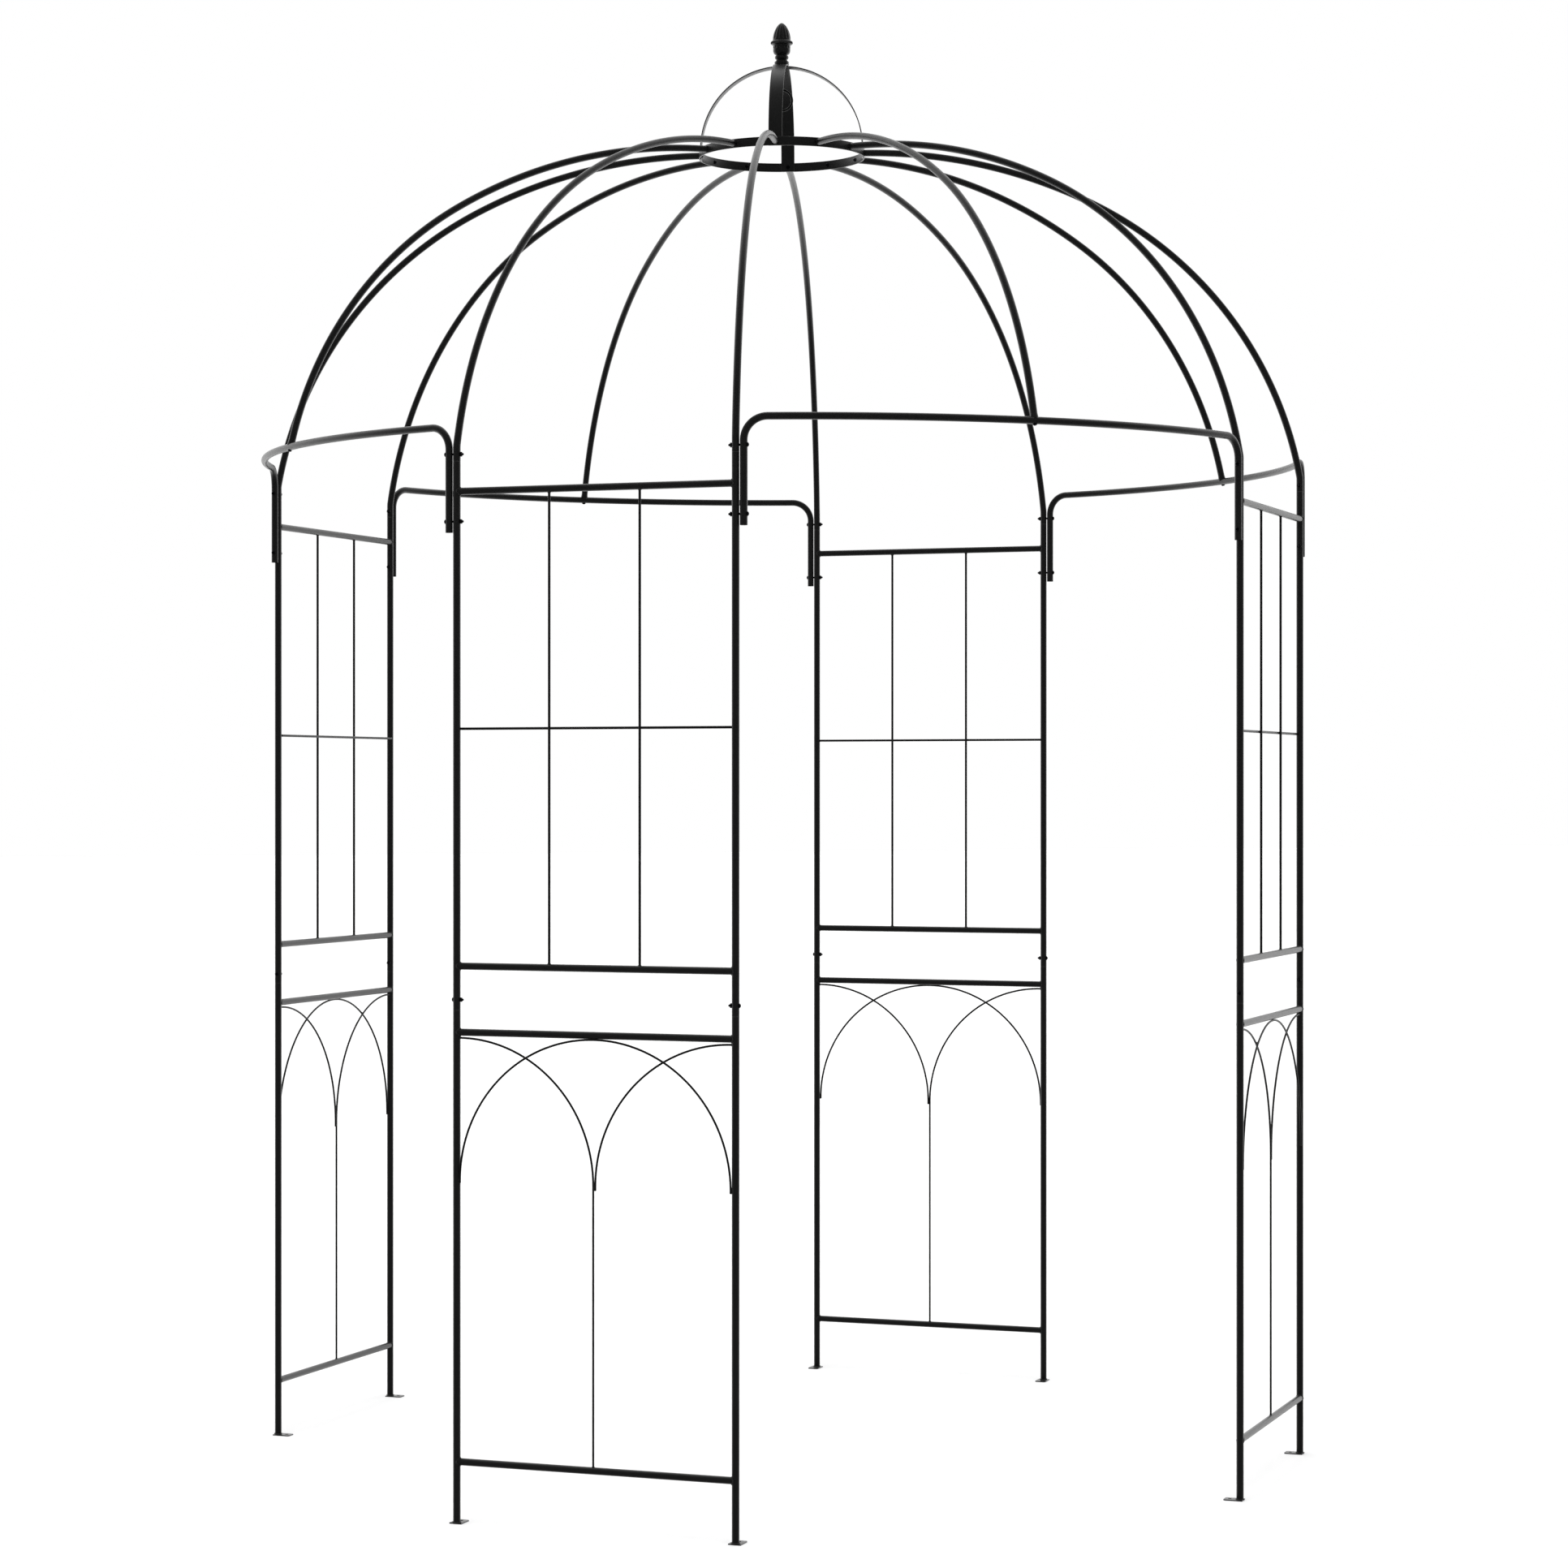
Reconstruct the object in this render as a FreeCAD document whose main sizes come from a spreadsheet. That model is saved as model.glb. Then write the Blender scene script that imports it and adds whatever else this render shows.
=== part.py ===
import FreeCAD
import Part
import Sketcher
import math
import os

# Metal trellis arch: a round garden gazebo of steel tube, bolted together.
#
# Eight posts stand on one circle in four pairs. Each pair is the frame of a flat trellis panel, and the
# four gaps between the panels are doorways. A bowed tie bar crosses each doorway at the top, eight ribs rise
# from the posts and four from the tie bars, and all twelve meet at a flat crown ring. Two crossing hoops of
# flat strip stand in the ring and carry a finial above and a lantern hook below.
#
# Millimetres, +Z up, origin on the ground at the centre. The doorways face +X, +Y, -X and -Y, and the
# panels face the diagonals. A panel's own frame has X outwards and Y along the panel.

SIZES = {
    # plan
    "post_circle_radius": 990,
    "post_half_angle": 15,
    # tube
    "tube_diameter": 13,
    "tube_wall": 0.8,
    "rail_diameter": 12.6,
    "rail_wall": 0.8,
    "slip_clearance": 0.1,
    "seam_spigot_length": 34,
    "rib_spigot_length": 18,
    "swage_length": 3,
    # heights: the panels and the dome are stacked on the post seam and the post top
    "foot_rail_height": 107,
    "waist_rail_drop": 38,
    "post_seam_height": 886,
    "grid_rail_lift": 76,
    "head_rail_drop": 52,
    "upper_post_length": 947,
    "dome_rise": 660.5,
    # wires of the panels
    "grid_wire_diameter": 4.6,
    "arch_wire_diameter": 3.7,
    "arch_tail": 4,
    "quarter_arch_drop": 2.5,
    "quarter_arch_lead": 1,
    "weld_gap": 0.1,
    # foot tabs
    "tab_thickness": 2,
    "tab_width": 23,
    "tab_reach": 22,
    "tab_corner_radius": 4,
    "tab_hole_diameter": 6.5,
    "tab_hole_reach": 12,
    # fasteners
    "bolt_diameter": 4,
    "bolt_hole_diameter": 4.4,
    "bolt_head_diameter": 8,
    "bolt_head_height": 2.8,
    "bolt_head_rim": 0.6,
    "bolt_end": 3,
    "nut_width": 7.2,
    "nut_height": 3.2,
    "thread_clearance": 0.05,
    "seat_clearance": 0.1,
    "joint_bolt_lift": 18,
    "lower_tie_bolt_drop": 104,
    "upper_tie_bolt_lift": 12,
    # tie bars
    "leg_gap": 1.5,
    "leg_foot_drop": 19,
    "tie_bar_lift": 60,
    "tie_bar_overhang": 5,
    "tie_corner_radius": 40,
    # ribs
    "rib_foot_margin": 5,
    "rib_bend_radius": 40,
    "post_rib_lean": 10.3,
    "post_rib_turn": 27.1,
    "tie_rib_lean": 14,
    "tie_rib_turn": 31.4,
    "saddle_lift": 2.5,
    "insert_length": 10,
    # crown
    "ring_radius": 160,
    "ring_height": 17,
    "strip_thickness": 2,
    "strip_width": 26,
    "hoop_leg_length": 23,
    # lantern hook
    "hook_wire_diameter": 4.5,
    "hook_hole_diameter": 5,
    "hook_bowl_radius": 20,
    "hook_neck_radius": 8,
    "hook_hang": 67.4,
    "hook_grip": 18,
    "hook_tip_angle": 150,
    # finial
    "finial_height": 82.6,
    "finial_base_radius": 13.9,
    "finial_base_height": 7.5,
    "finial_neck_radius": 10.1,
    "finial_neck_height": 11.6,
    "finial_bead_bulge": 3,
    "finial_waist_radius": 11.6,
    "finial_waist_height": 19.5,
    "finial_cup_radius": 16.7,
    "finial_cup_height": 30,
    "finial_rim_radius": 17.7,
    "finial_rim_height": 39.8,
    "finial_rim_bulge": 3.5,
    "finial_rim_thickness": 7.5,
    "finial_acorn_curve": 35,
    "finial_tip_radius": 0.8,
}

PANEL_ANGLES = (45, 135, 225, 315)
DOORWAY_ANGLES = (0, 90, 180, 270)
RIB_ANGLES = range(0, 360, 30)
UPPER_HOOP_ANGLE = 330
LOWER_HOOP_ANGLE = 60
HOOK_ANGLE = 66
SIDES = {"left": -1, "right": 1}


def rib_formulas(kind, start_x, start_z):
    """Cells for a rib that leaves (start_x, start_z) at its lean and reaches the crown ring level.

    The rib is two tangent arcs. The upper one makes the rib's turn and the lower one what is left of the
    quarter, and their radii are the two unknowns of the closing equations.
    """
    lean = f"Sizes.{kind}_lean * 1deg"
    joint = f"(90 - Sizes.{kind}_turn) * 1deg"
    run = f"({kind}_start_x - Sizes.ring_radius)"
    rise = f"(rib_crown_height - {kind}_start_z)"
    lower_x = f"({kind}_lean_z - cos({joint}))"
    lower_z = f"(sin({joint}) - {kind}_lean_x)"
    crown_x = f"cos({joint})"
    crown_z = f"(1 - sin({joint}))"
    closing = f"({lower_x} * {crown_z} - {crown_x} * {lower_z})"
    return {
        f"{kind}_lean_x": f"sin({lean})",
        f"{kind}_lean_z": f"cos({lean})",
        f"{kind}_start_x": start_x,
        f"{kind}_start_z": start_z,
        f"{kind}_lower_radius": f"({run} * {crown_z} - {rise} * {crown_x}) / {closing}",
        f"{kind}_crown_radius": f"({rise} * {lower_x} - {run} * {lower_z}) / {closing}",
        f"{kind}_joint_x": f"{kind}_start_x - {kind}_lower_radius * {lower_x}",
        f"{kind}_joint_z": f"{kind}_start_z + {kind}_lower_radius * {lower_z}",
    }


LAYOUT = {
    "panel_distance": "Sizes.post_circle_radius * cos(Sizes.post_half_angle * 1deg)",
    "post_half_spacing": "Sizes.post_circle_radius * sin(Sizes.post_half_angle * 1deg)",
    "tube_radius": "Sizes.tube_diameter / 2",
    "tube_bore": "Sizes.tube_diameter - 2 * Sizes.tube_wall",
    "spigot_diameter": "tube_bore - 2 * Sizes.slip_clearance",
    "spigot_bore": "spigot_diameter - 2 * Sizes.tube_wall",
    "rail_radius": "Sizes.rail_diameter / 2",
    "rail_bore": "Sizes.rail_diameter - 2 * Sizes.rail_wall",
    # heights
    "post_top": "Sizes.post_seam_height + Sizes.upper_post_length",
    "waist_rail": "Sizes.post_seam_height - Sizes.waist_rail_drop",
    "grid_rail": "Sizes.post_seam_height + Sizes.grid_rail_lift",
    "head_rail": "post_top - Sizes.head_rail_drop",
    "grid_middle": "(grid_rail + head_rail) / 2",
    "joint_bolt_height": "Sizes.post_seam_height + Sizes.joint_bolt_lift",
    "lower_tie_bolt_height": "post_top - Sizes.lower_tie_bolt_drop",
    "upper_tie_bolt_height": "post_top + Sizes.upper_tie_bolt_lift",
    "leg_foot_height": "lower_tie_bolt_height - Sizes.leg_foot_drop",
    "tie_bar_height": "post_top + Sizes.tie_bar_lift",
    "rib_bend_height": "post_top + Sizes.rib_spigot_length + Sizes.rib_foot_margin",
    "rib_crown_height": "post_top + Sizes.dome_rise",
    # wires of the panels
    "arch_wire_radius": "Sizes.arch_wire_diameter / 2",
    "grid_third": "(post_half_spacing - tube_radius) / 3",
    "level_offset": "Sizes.grid_wire_diameter + Sizes.weld_gap",
    "level_reach": "post_half_spacing - sqrt(tube_radius ^ 2 - level_offset ^ 2)",
    "arch_offset": "Sizes.arch_wire_diameter + Sizes.weld_gap",
    "arch_wire_seat": "arch_wire_radius + Sizes.weld_gap",
    "arch_radius": "post_half_spacing - sqrt((tube_radius + arch_wire_seat) ^ 2 - arch_offset ^ 2)",
    "arch_top": "waist_rail - sqrt((rail_radius + arch_wire_seat) ^ 2 - arch_offset ^ 2)",
    "arch_spring": "arch_top - arch_radius",
    "quarter_top": "arch_top - Sizes.quarter_arch_drop",
    "quarter_foot": "arch_offset / 2",
    "quarter_radius": "post_half_spacing - tube_radius - Sizes.quarter_arch_lead - quarter_foot",
    "quarter_spring": "quarter_top - quarter_radius",
    "rod_foot": "Sizes.foot_rail_height + rail_radius + Sizes.weld_gap",
    # tie bars, in a frame whose X points out of the doorway
    "leg_half_spacing": "post_half_spacing + Sizes.tube_diameter + Sizes.leg_gap",
    "leg_x": "(panel_distance + leg_half_spacing) * cos(45deg)",
    "leg_y": "(panel_distance - leg_half_spacing) * cos(45deg)",
    "tie_bar_reach": "Sizes.post_circle_radius + Sizes.tie_bar_overhang",
    "tie_bow": "tie_bar_reach - leg_x",
    "tie_arc_radius": "(leg_y ^ 2 + tie_bow ^ 2 - Sizes.tie_corner_radius ^ 2) / (2 * tie_bow)",
    # ribs
    "base_lift": "tube_radius + Sizes.insert_length + Sizes.rib_foot_margin",
    **rib_formulas(
        "post_rib",
        "Sizes.post_circle_radius - Sizes.rib_bend_radius * (1 - post_rib_lean_z)",
        "rib_bend_height + Sizes.rib_bend_radius * post_rib_lean_x",
    ),
    **rib_formulas(
        "tie_rib",
        "tie_bar_reach - base_lift * tie_rib_lean_x",
        "tie_bar_height + base_lift * tie_rib_lean_z",
    ),
    # crown
    "ring_bore_radius": "Sizes.ring_radius - Sizes.strip_thickness",
    "ring_foot": "rib_crown_height - Sizes.ring_height / 2",
    "strip_sagitta": "ring_bore_radius - sqrt(ring_bore_radius ^ 2 - (Sizes.strip_width / 2) ^ 2)",
    "hoop_radius": "ring_bore_radius - strip_sagitta - Sizes.seat_clearance",
    "hoop_bore_radius": "hoop_radius - Sizes.strip_thickness",
    "hoop_top": "ring_foot + Sizes.hoop_leg_length + hoop_radius",
    "hoop_drop": "Sizes.strip_thickness + strip_sagitta + Sizes.seat_clearance",
    "hook_nut_seat": "hoop_top - hoop_drop - Sizes.strip_thickness - Sizes.seat_clearance",
    # lantern hook: the neck arc and the bowl arc touch at (hook_touch_x, hook_touch_z)
    "hook_bowl_height": "hoop_top - Sizes.hook_hang",
    "hook_reach": "Sizes.hook_bowl_radius + Sizes.hook_neck_radius",
    "hook_rise": "sqrt(hook_reach ^ 2 - Sizes.hook_neck_radius ^ 2)",
    "hook_touch_x": "Sizes.hook_bowl_radius * Sizes.hook_neck_radius / hook_reach",
    "hook_touch_z": "hook_bowl_height + Sizes.hook_bowl_radius * hook_rise / hook_reach",
}

doc = FreeCAD.newDocument("TrellisArch")
sizes = doc.addObject("Spreadsheet::Sheet", "Sizes")
layout = doc.addObject("Spreadsheet::Sheet", "Layout")
nodes = []


def fill(sheet, cells, prefix=""):
    """Writes each name and its content in a row, and gives the content's cell that name as its alias."""
    for row, (alias, content) in enumerate(cells.items(), start=1):
        sheet.set(f"A{row}", alias)
        sheet.set(f"B{row}", f"{prefix}{content}")
        sheet.setAlias(f"B{row}", alias)


def number(expression):
    """The value of an expression on the two sheets."""
    result = layout.evalExpression(expression)
    return float(getattr(result, "Value", result))


# ---------------------------------------------------------------- sketches


def new_body(label):
    body = doc.addObject("PartDesign::Body", label)
    body.Label = label
    return body


def new_sketch(body, name, role):
    """A sketch on one of the body's own origin planes."""
    sketch = body.newObject("Sketcher::SketchObject", name)
    plane = next(item for item in body.Origin.OriginFeatures if item.Role == role)
    sketch.AttachmentSupport = [(plane, "")]
    sketch.MapMode = "FlatFace"
    return sketch


def bind(sketch, kind, items, expression):
    """Adds a dimension to a sketch and ties it to the sheets."""
    index = sketch.addConstraint(Sketcher.Constraint(kind, *items, number(expression)))
    sketch.setExpression(f"Constraints[{index}]", expression)


def pin(sketch, geometry, point, x, y):
    """Ties a point of a sketch to its place, or to an axis where a coordinate is 0."""
    for kind, axis, expression in (("DistanceX", -2, x), ("DistanceY", -1, y)):
        if expression == "0":
            sketch.addConstraint(Sketcher.Constraint("PointOnObject", geometry, point, axis))
        else:
            bind(sketch, kind, (-1, 1, geometry, point), expression)


def circle(sketch, x, y, diameter):
    centre = FreeCAD.Vector(number(x), number(y), 0)
    up = FreeCAD.Vector(0, 0, 1)
    geometry = sketch.addGeometry(Part.Circle(centre, up, number(diameter) / 2))
    if (x, y) == ("0", "0"):
        sketch.addConstraint(Sketcher.Constraint("Coincident", geometry, 3, -1, 1))
    else:
        pin(sketch, geometry, 3, x, y)
    bind(sketch, "Diameter", (geometry,), diameter)


def arc_between(start, end, radius, bulge):
    """An arc under half a turn, with its bulge on the left (1) or right (-1) of the way from start to end."""
    chord = end - start
    left = FreeCAD.Vector(-chord.y, chord.x, 0).normalize()
    depth = math.sqrt(radius ** 2 - (chord.Length / 2) ** 2)
    centre = (start + end) / 2 - left * depth * bulge
    first, last = (end, start) if bulge > 0 else (start, end)
    start_angle = math.atan2(first.y - centre.y, first.x - centre.x)
    end_angle = math.atan2(last.y - centre.y, last.x - centre.x)
    whole = Part.Circle(centre, FreeCAD.Vector(0, 0, 1), radius)
    return Part.ArcOfCircle(whole, start_angle, end_angle)


def outline(sketch, corners, closed=True):
    """Draws lines and arcs from corner to corner.

    A corner is (x, y), or (x, y, radius, bulge) where the edge that arrives there is an arc.
    """
    places = [FreeCAD.Vector(number(corner[0]), number(corner[1]), 0) for corner in corners]
    count = len(corners)
    edges = []
    for index in range(0 if closed else 1, count):
        start, end = places[index - 1], places[index]
        arc = corners[index][2:]
        if arc:
            radius, bulge = arc
            geometry = sketch.addGeometry(arc_between(start, end, number(radius), bulge))
            bind(sketch, "Radius", (geometry,), radius)
            edges.append((geometry, 2, 1) if bulge > 0 else (geometry, 1, 2))
        else:
            geometry = sketch.addGeometry(Part.LineSegment(start, end))
            edges.append((geometry, 1, 2))
    for (geometry, _, end), (following, start, _) in zip(edges, edges[1:]):
        sketch.addConstraint(Sketcher.Constraint("Coincident", geometry, end, following, start))
    if closed:
        first, last = edges[0], edges[-1]
        sketch.addConstraint(Sketcher.Constraint("Coincident", last[0], last[2], first[0], first[1]))
    else:
        pin(sketch, edges[0][0], edges[0][1], *corners[0][:2])
    for (geometry, _, end), corner in zip(edges, corners if closed else corners[1:]):
        pin(sketch, geometry, end, *corner[:2])


# ---------------------------------------------------------------- features


def pad(body, name, sketch, length, symmetric=False):
    feature = body.newObject("PartDesign::Pad", name)
    feature.Profile = sketch
    feature.SideType = "Symmetric" if symmetric else "One side"
    feature.setExpression("Length", length)
    return feature


def pocket(body, name, sketch, length):
    """Cuts a profile out of the body to both sides of its sketch."""
    feature = body.newObject("PartDesign::Pocket", name)
    feature.Profile = sketch
    feature.SideType = "Symmetric"
    feature.setExpression("Length", length)
    return feature


def revolve(body, name, sketch):
    """Turns a profile drawn in the XZ plane about the body's Z axis."""
    feature = body.newObject("PartDesign::Revolution", name)
    feature.Profile = sketch
    feature.ReferenceAxis = (sketch, ["V_Axis"])
    feature.Angle = 360
    return feature


def pipe(body, name, section, path):
    feature = body.newObject("PartDesign::AdditivePipe", name)
    feature.Profile = section
    feature.Spine = path
    return feature


def place(item, angle, x, y, z, turn=None):
    """Puts an object at (x, y, z) of a frame that is turned by angle about the Z axis."""
    rotation = FreeCAD.Rotation(FreeCAD.Vector(0, 0, 1), angle)
    if turn is not None:
        rotation = rotation * turn
    item.Placement = FreeCAD.Placement(FreeCAD.Vector(), rotation)
    item.setExpression("Placement.Base.x", f"({x}) * cos({angle}deg) - ({y}) * sin({angle}deg)")
    item.setExpression("Placement.Base.y", f"({x}) * sin({angle}deg) + ({y}) * cos({angle}deg)")
    item.setExpression("Placement.Base.z", z)


def group(label, copies):
    """One node of separate solids: a copy of each pattern piece at each of its places."""
    links = []
    for pattern, where in copies:
        link = doc.addObject("App::Link", f"{label}_{len(links) + 1}")
        link.LinkedObject = pattern
        place(link, *where)
        links.append(link)
    compound = doc.addObject("Part::Compound", label)
    compound.Label = label
    compound.Links = links
    nodes.append(compound)


ALONG_PANEL = {
    "left": FreeCAD.Rotation(FreeCAD.Vector(1, 0, 0), -90),
    "right": FreeCAD.Rotation(FreeCAD.Vector(1, 0, 0), 90),
}
OUTWARDS = FreeCAD.Rotation(FreeCAD.Vector(0, 1, 0), 90)


# ---------------------------------------------------------------- posts and rails


def post_tube(label, foot, seam, spigot_length, bolt_heights):
    """A tube from foot to seam, with a narrower spigot above the seam and cross holes for bolts."""
    body = new_body(label)
    profile = new_sketch(body, "wall", "XZ_Plane")
    tube, bore = "Layout.tube_radius", "Layout.tube_bore / 2"
    spigot, spigot_bore = "Layout.spigot_diameter / 2", "Layout.spigot_bore / 2"
    outline(profile, [
        (tube, foot),
        (tube, seam),
        (spigot, seam),
        (spigot, f"{seam} + {spigot_length}"),
        (spigot_bore, f"{seam} + {spigot_length}"),
        (spigot_bore, f"{seam} - Sizes.swage_length"),
        (bore, f"{seam} - 2 * Sizes.swage_length"),
        (bore, foot),
    ])
    revolve(body, "tube", profile)
    holes = new_sketch(body, "bolt_holes", "XZ_Plane")
    for height in bolt_heights:
        circle(holes, "0", height, "Sizes.bolt_hole_diameter")
    pocket(body, "drilling", holes, "2 * Sizes.tube_diameter")
    return body


def rail_pair(label, heights):
    """Two rails across a panel, each coped to the posts at its ends."""
    body = new_body(label)
    section = new_sketch(body, "section", "XZ_Plane")
    for height in heights:
        circle(section, "0", height, "Sizes.rail_diameter")
        circle(section, "0", height, "Layout.rail_bore")
    pad(body, "rails", section, "2 * Layout.post_half_spacing", symmetric=True)
    cope_to_posts(body)
    return body


def cope_to_posts(body):
    posts = new_sketch(body, "post_sections", "XY_Plane")
    circle(posts, "0", "-Layout.post_half_spacing", "Sizes.tube_diameter")
    circle(posts, "0", "Layout.post_half_spacing", "Sizes.tube_diameter")
    pocket(body, "post_copes", posts, "4 * Layout.post_top")


# ---------------------------------------------------------------- panel wires


def grid_wires(label):
    """Two upright wires in the panel's middle plane and a level wire welded to their inner side."""
    body = new_body(label)
    rails = ("Layout.grid_rail", "Layout.head_rail")
    uprights = new_sketch(body, "upright_sections", "XY_Plane")
    uprights.setExpression("AttachmentOffset.Base.z", rails[0])
    for side in ("-", ""):
        circle(uprights, "0", f"{side}Layout.grid_third", "Sizes.grid_wire_diameter")
    pad(body, "uprights", uprights, f"{rails[1]} - {rails[0]}")
    level = new_sketch(body, "level_section", "XZ_Plane")
    circle(level, "-Layout.level_offset", "Layout.grid_middle", "Sizes.grid_wire_diameter")
    pad(body, "level_wire", level, "2 * Layout.level_reach", symmetric=True)
    rail_sections = new_sketch(body, "rail_sections", "XZ_Plane")
    for height in rails:
        circle(rail_sections, "0", height, "Sizes.rail_diameter")
    pocket(body, "rail_copes", rail_sections, "4 * Layout.post_half_spacing")
    cope_to_posts(body)
    return body


def wire_along(body, name, layer, corners):
    """A wire bent in a plane that lies outside the panel's middle plane by layer."""
    path = new_sketch(body, f"{name}_path", "YZ_Plane")
    path.setExpression("AttachmentOffset.Base.z", layer)
    outline(path, corners, closed=False)
    section = new_sketch(body, f"{name}_section", "XY_Plane")
    section.setExpression("AttachmentOffset.Base.z", corners[0][1])
    circle(section, layer, corners[0][0], "Sizes.arch_wire_diameter")
    pipe(body, name, section, path)


def arch_wires(label):
    """A round arch from post to post, and two half arches that spring from the middle to the posts.

    The half arches lie in the panel's middle plane and the round arch just outside them. The left half arch
    runs down as the middle rod; the right one ends beside it in a short tail.
    """
    body = new_body(label)
    radius = "Layout.arch_radius"
    tail = "Layout.arch_spring - Sizes.arch_tail"
    wire_along(body, "round_arch", "Layout.arch_offset", [
        (f"-{radius}", tail),
        (f"-{radius}", "Layout.arch_spring"),
        ("0", "Layout.arch_top", radius, 1),
        (radius, "Layout.arch_spring", radius, 1),
        (radius, tail),
    ])
    for name, side, foot in (
        ("left_half_arch", "-", "Layout.rod_foot"),
        ("right_half_arch", "", "Layout.quarter_spring - 2 * Sizes.arch_tail"),
    ):
        middle = f"{side}Layout.quarter_foot"
        wire_along(body, name, "0", [
            (middle, foot),
            (middle, "Layout.quarter_spring"),
            (
                f"{side}(Layout.quarter_foot + Layout.quarter_radius)",
                "Layout.quarter_top",
                "Layout.quarter_radius",
                -1 if side else 1,
            ),
            (f"{side}Layout.post_half_spacing", "Layout.quarter_top"),
        ])
    cope_to_posts(body)
    return body


# ---------------------------------------------------------------- ribs and tie bars


def rib(label, kind, foot_corners):
    """A tube that sweeps from the crown ring out and down to its foot corners."""
    body = new_body(label)
    path = new_sketch(body, "path", "XZ_Plane")
    outline(path, [
        ("Sizes.ring_radius", "Layout.rib_crown_height"),
        (f"Layout.{kind}_joint_x", f"Layout.{kind}_joint_z", f"Layout.{kind}_crown_radius", 1),
        (f"Layout.{kind}_start_x", f"Layout.{kind}_start_z", f"Layout.{kind}_lower_radius", 1),
        *foot_corners,
    ], closed=False)
    section = new_sketch(body, "section", "YZ_Plane")
    section.setExpression("AttachmentOffset.Base.z", "Sizes.ring_radius")
    circle(section, "0", "Layout.rib_crown_height", "Sizes.tube_diameter")
    circle(section, "0", "Layout.rib_crown_height", "Layout.tube_bore")
    pipe(body, "tube", section, path)
    return body


def post_rib(label, side):
    """A rib whose straight foot slips over a post's spigot and takes the upper tie bolt."""
    body = rib(label, "post_rib", [
        ("Sizes.post_circle_radius", "Layout.rib_bend_height", "Sizes.rib_bend_radius", 1),
        ("Sizes.post_circle_radius", "Layout.post_top"),
    ])
    hole = new_sketch(body, "bolt_hole", "XZ_Plane")
    towards_panel = FreeCAD.Rotation(FreeCAD.Vector(0, 1, 0), -side * number("Sizes.post_half_angle"))
    hole.AttachmentOffset = FreeCAD.Placement(FreeCAD.Vector(), towards_panel)
    hole.setExpression("AttachmentOffset.Base.x", "Sizes.post_circle_radius")
    circle(hole, "0", "Layout.upper_tie_bolt_height", "Sizes.bolt_hole_diameter")
    pocket(body, "drilling", hole, "2 * Sizes.tube_diameter")
    return body


def tie_rib(label):
    """A rib whose foot is notched to sit on the middle of a tie bar."""
    body = rib(label, "tie_rib", [
        (
            "Layout.tie_bar_reach - Sizes.saddle_lift * Layout.tie_rib_lean_x",
            "Layout.tie_bar_height + Sizes.saddle_lift * Layout.tie_rib_lean_z",
        ),
    ])
    bar = new_sketch(body, "bar_section", "XZ_Plane")
    circle(bar, "Layout.tie_bar_reach", "Layout.tie_bar_height", "Sizes.tube_diameter")
    pocket(body, "saddle", bar, "4 * Sizes.tube_diameter")
    return body


def tie_bar_shape():
    """A tube with two legs, a tight corner above each leg and a bow in plan between the corners.

    The corners and the bow lie in different planes, so the path is a wire in space.
    """
    corner = number("Sizes.tie_corner_radius")
    height = number("Layout.tie_bar_height")
    foot = number("Layout.leg_foot_height")
    leg = FreeCAD.Vector(number("Layout.leg_x"), number("Layout.leg_y"), 0)
    radius = number("Layout.tie_arc_radius")
    centre = number("Layout.tie_bar_reach") - radius
    half_turn = math.atan2(leg.y, leg.x - centre) - math.atan2(corner, radius)
    bow_end = FreeCAD.Vector(centre + radius * math.cos(half_turn), radius * math.sin(half_turn), height)
    tangent = FreeCAD.Vector(-math.sin(half_turn), math.cos(half_turn), 0)
    corner_low = bow_end + tangent * corner - FreeCAD.Vector(0, 0, corner)
    slant = math.sqrt(0.5) * corner
    corner_middle = bow_end + tangent * slant - FreeCAD.Vector(0, 0, corner - slant)
    leg_foot = FreeCAD.Vector(leg.x, leg.y, foot)

    def other_side(point):
        return FreeCAD.Vector(point.x, -point.y, point.z)

    bow_middle = FreeCAD.Vector(centre + radius, 0, height)
    path = Part.Wire([
        Part.LineSegment(leg_foot, corner_low).toShape(),
        Part.Arc(corner_low, corner_middle, bow_end).toShape(),
        Part.Arc(bow_end, bow_middle, other_side(bow_end)).toShape(),
        Part.Arc(other_side(bow_end), other_side(corner_middle), other_side(corner_low)).toShape(),
        Part.LineSegment(other_side(corner_low), other_side(leg_foot)).toShape(),
    ])

    def swept(diameter):
        section = Part.Wire(Part.makeCircle(diameter / 2, leg_foot, FreeCAD.Vector(0, 0, 1)))
        return path.makePipeShell([section], True, False)

    bar = swept(number("Sizes.tube_diameter")).cut(swept(number("Layout.tube_bore")))
    drill_radius = number("Sizes.bolt_hole_diameter") / 2
    drill_length = 2 * number("Sizes.tube_diameter")
    for side in (1, -1):
        along_panel = FreeCAD.Vector(-1, side, 0).normalize()
        for height_name in ("lower_tie_bolt_height", "upper_tie_bolt_height"):
            middle = FreeCAD.Vector(leg.x, side * leg.y, number(f"Layout.{height_name}"))
            start = middle - along_panel * (drill_length / 2)
            bar = bar.cut(Part.makeCylinder(drill_radius, drill_length, start, along_panel))
    seat = FreeCAD.Vector(centre + radius, 0, height)
    lean = FreeCAD.Vector(-number("Layout.tie_rib_lean_x"), 0, number("Layout.tie_rib_lean_z"))
    return bar.cut(Part.makeCylinder(drill_radius, drill_length, seat - lean * (drill_length / 2), lean))


# ---------------------------------------------------------------- crown


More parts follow.
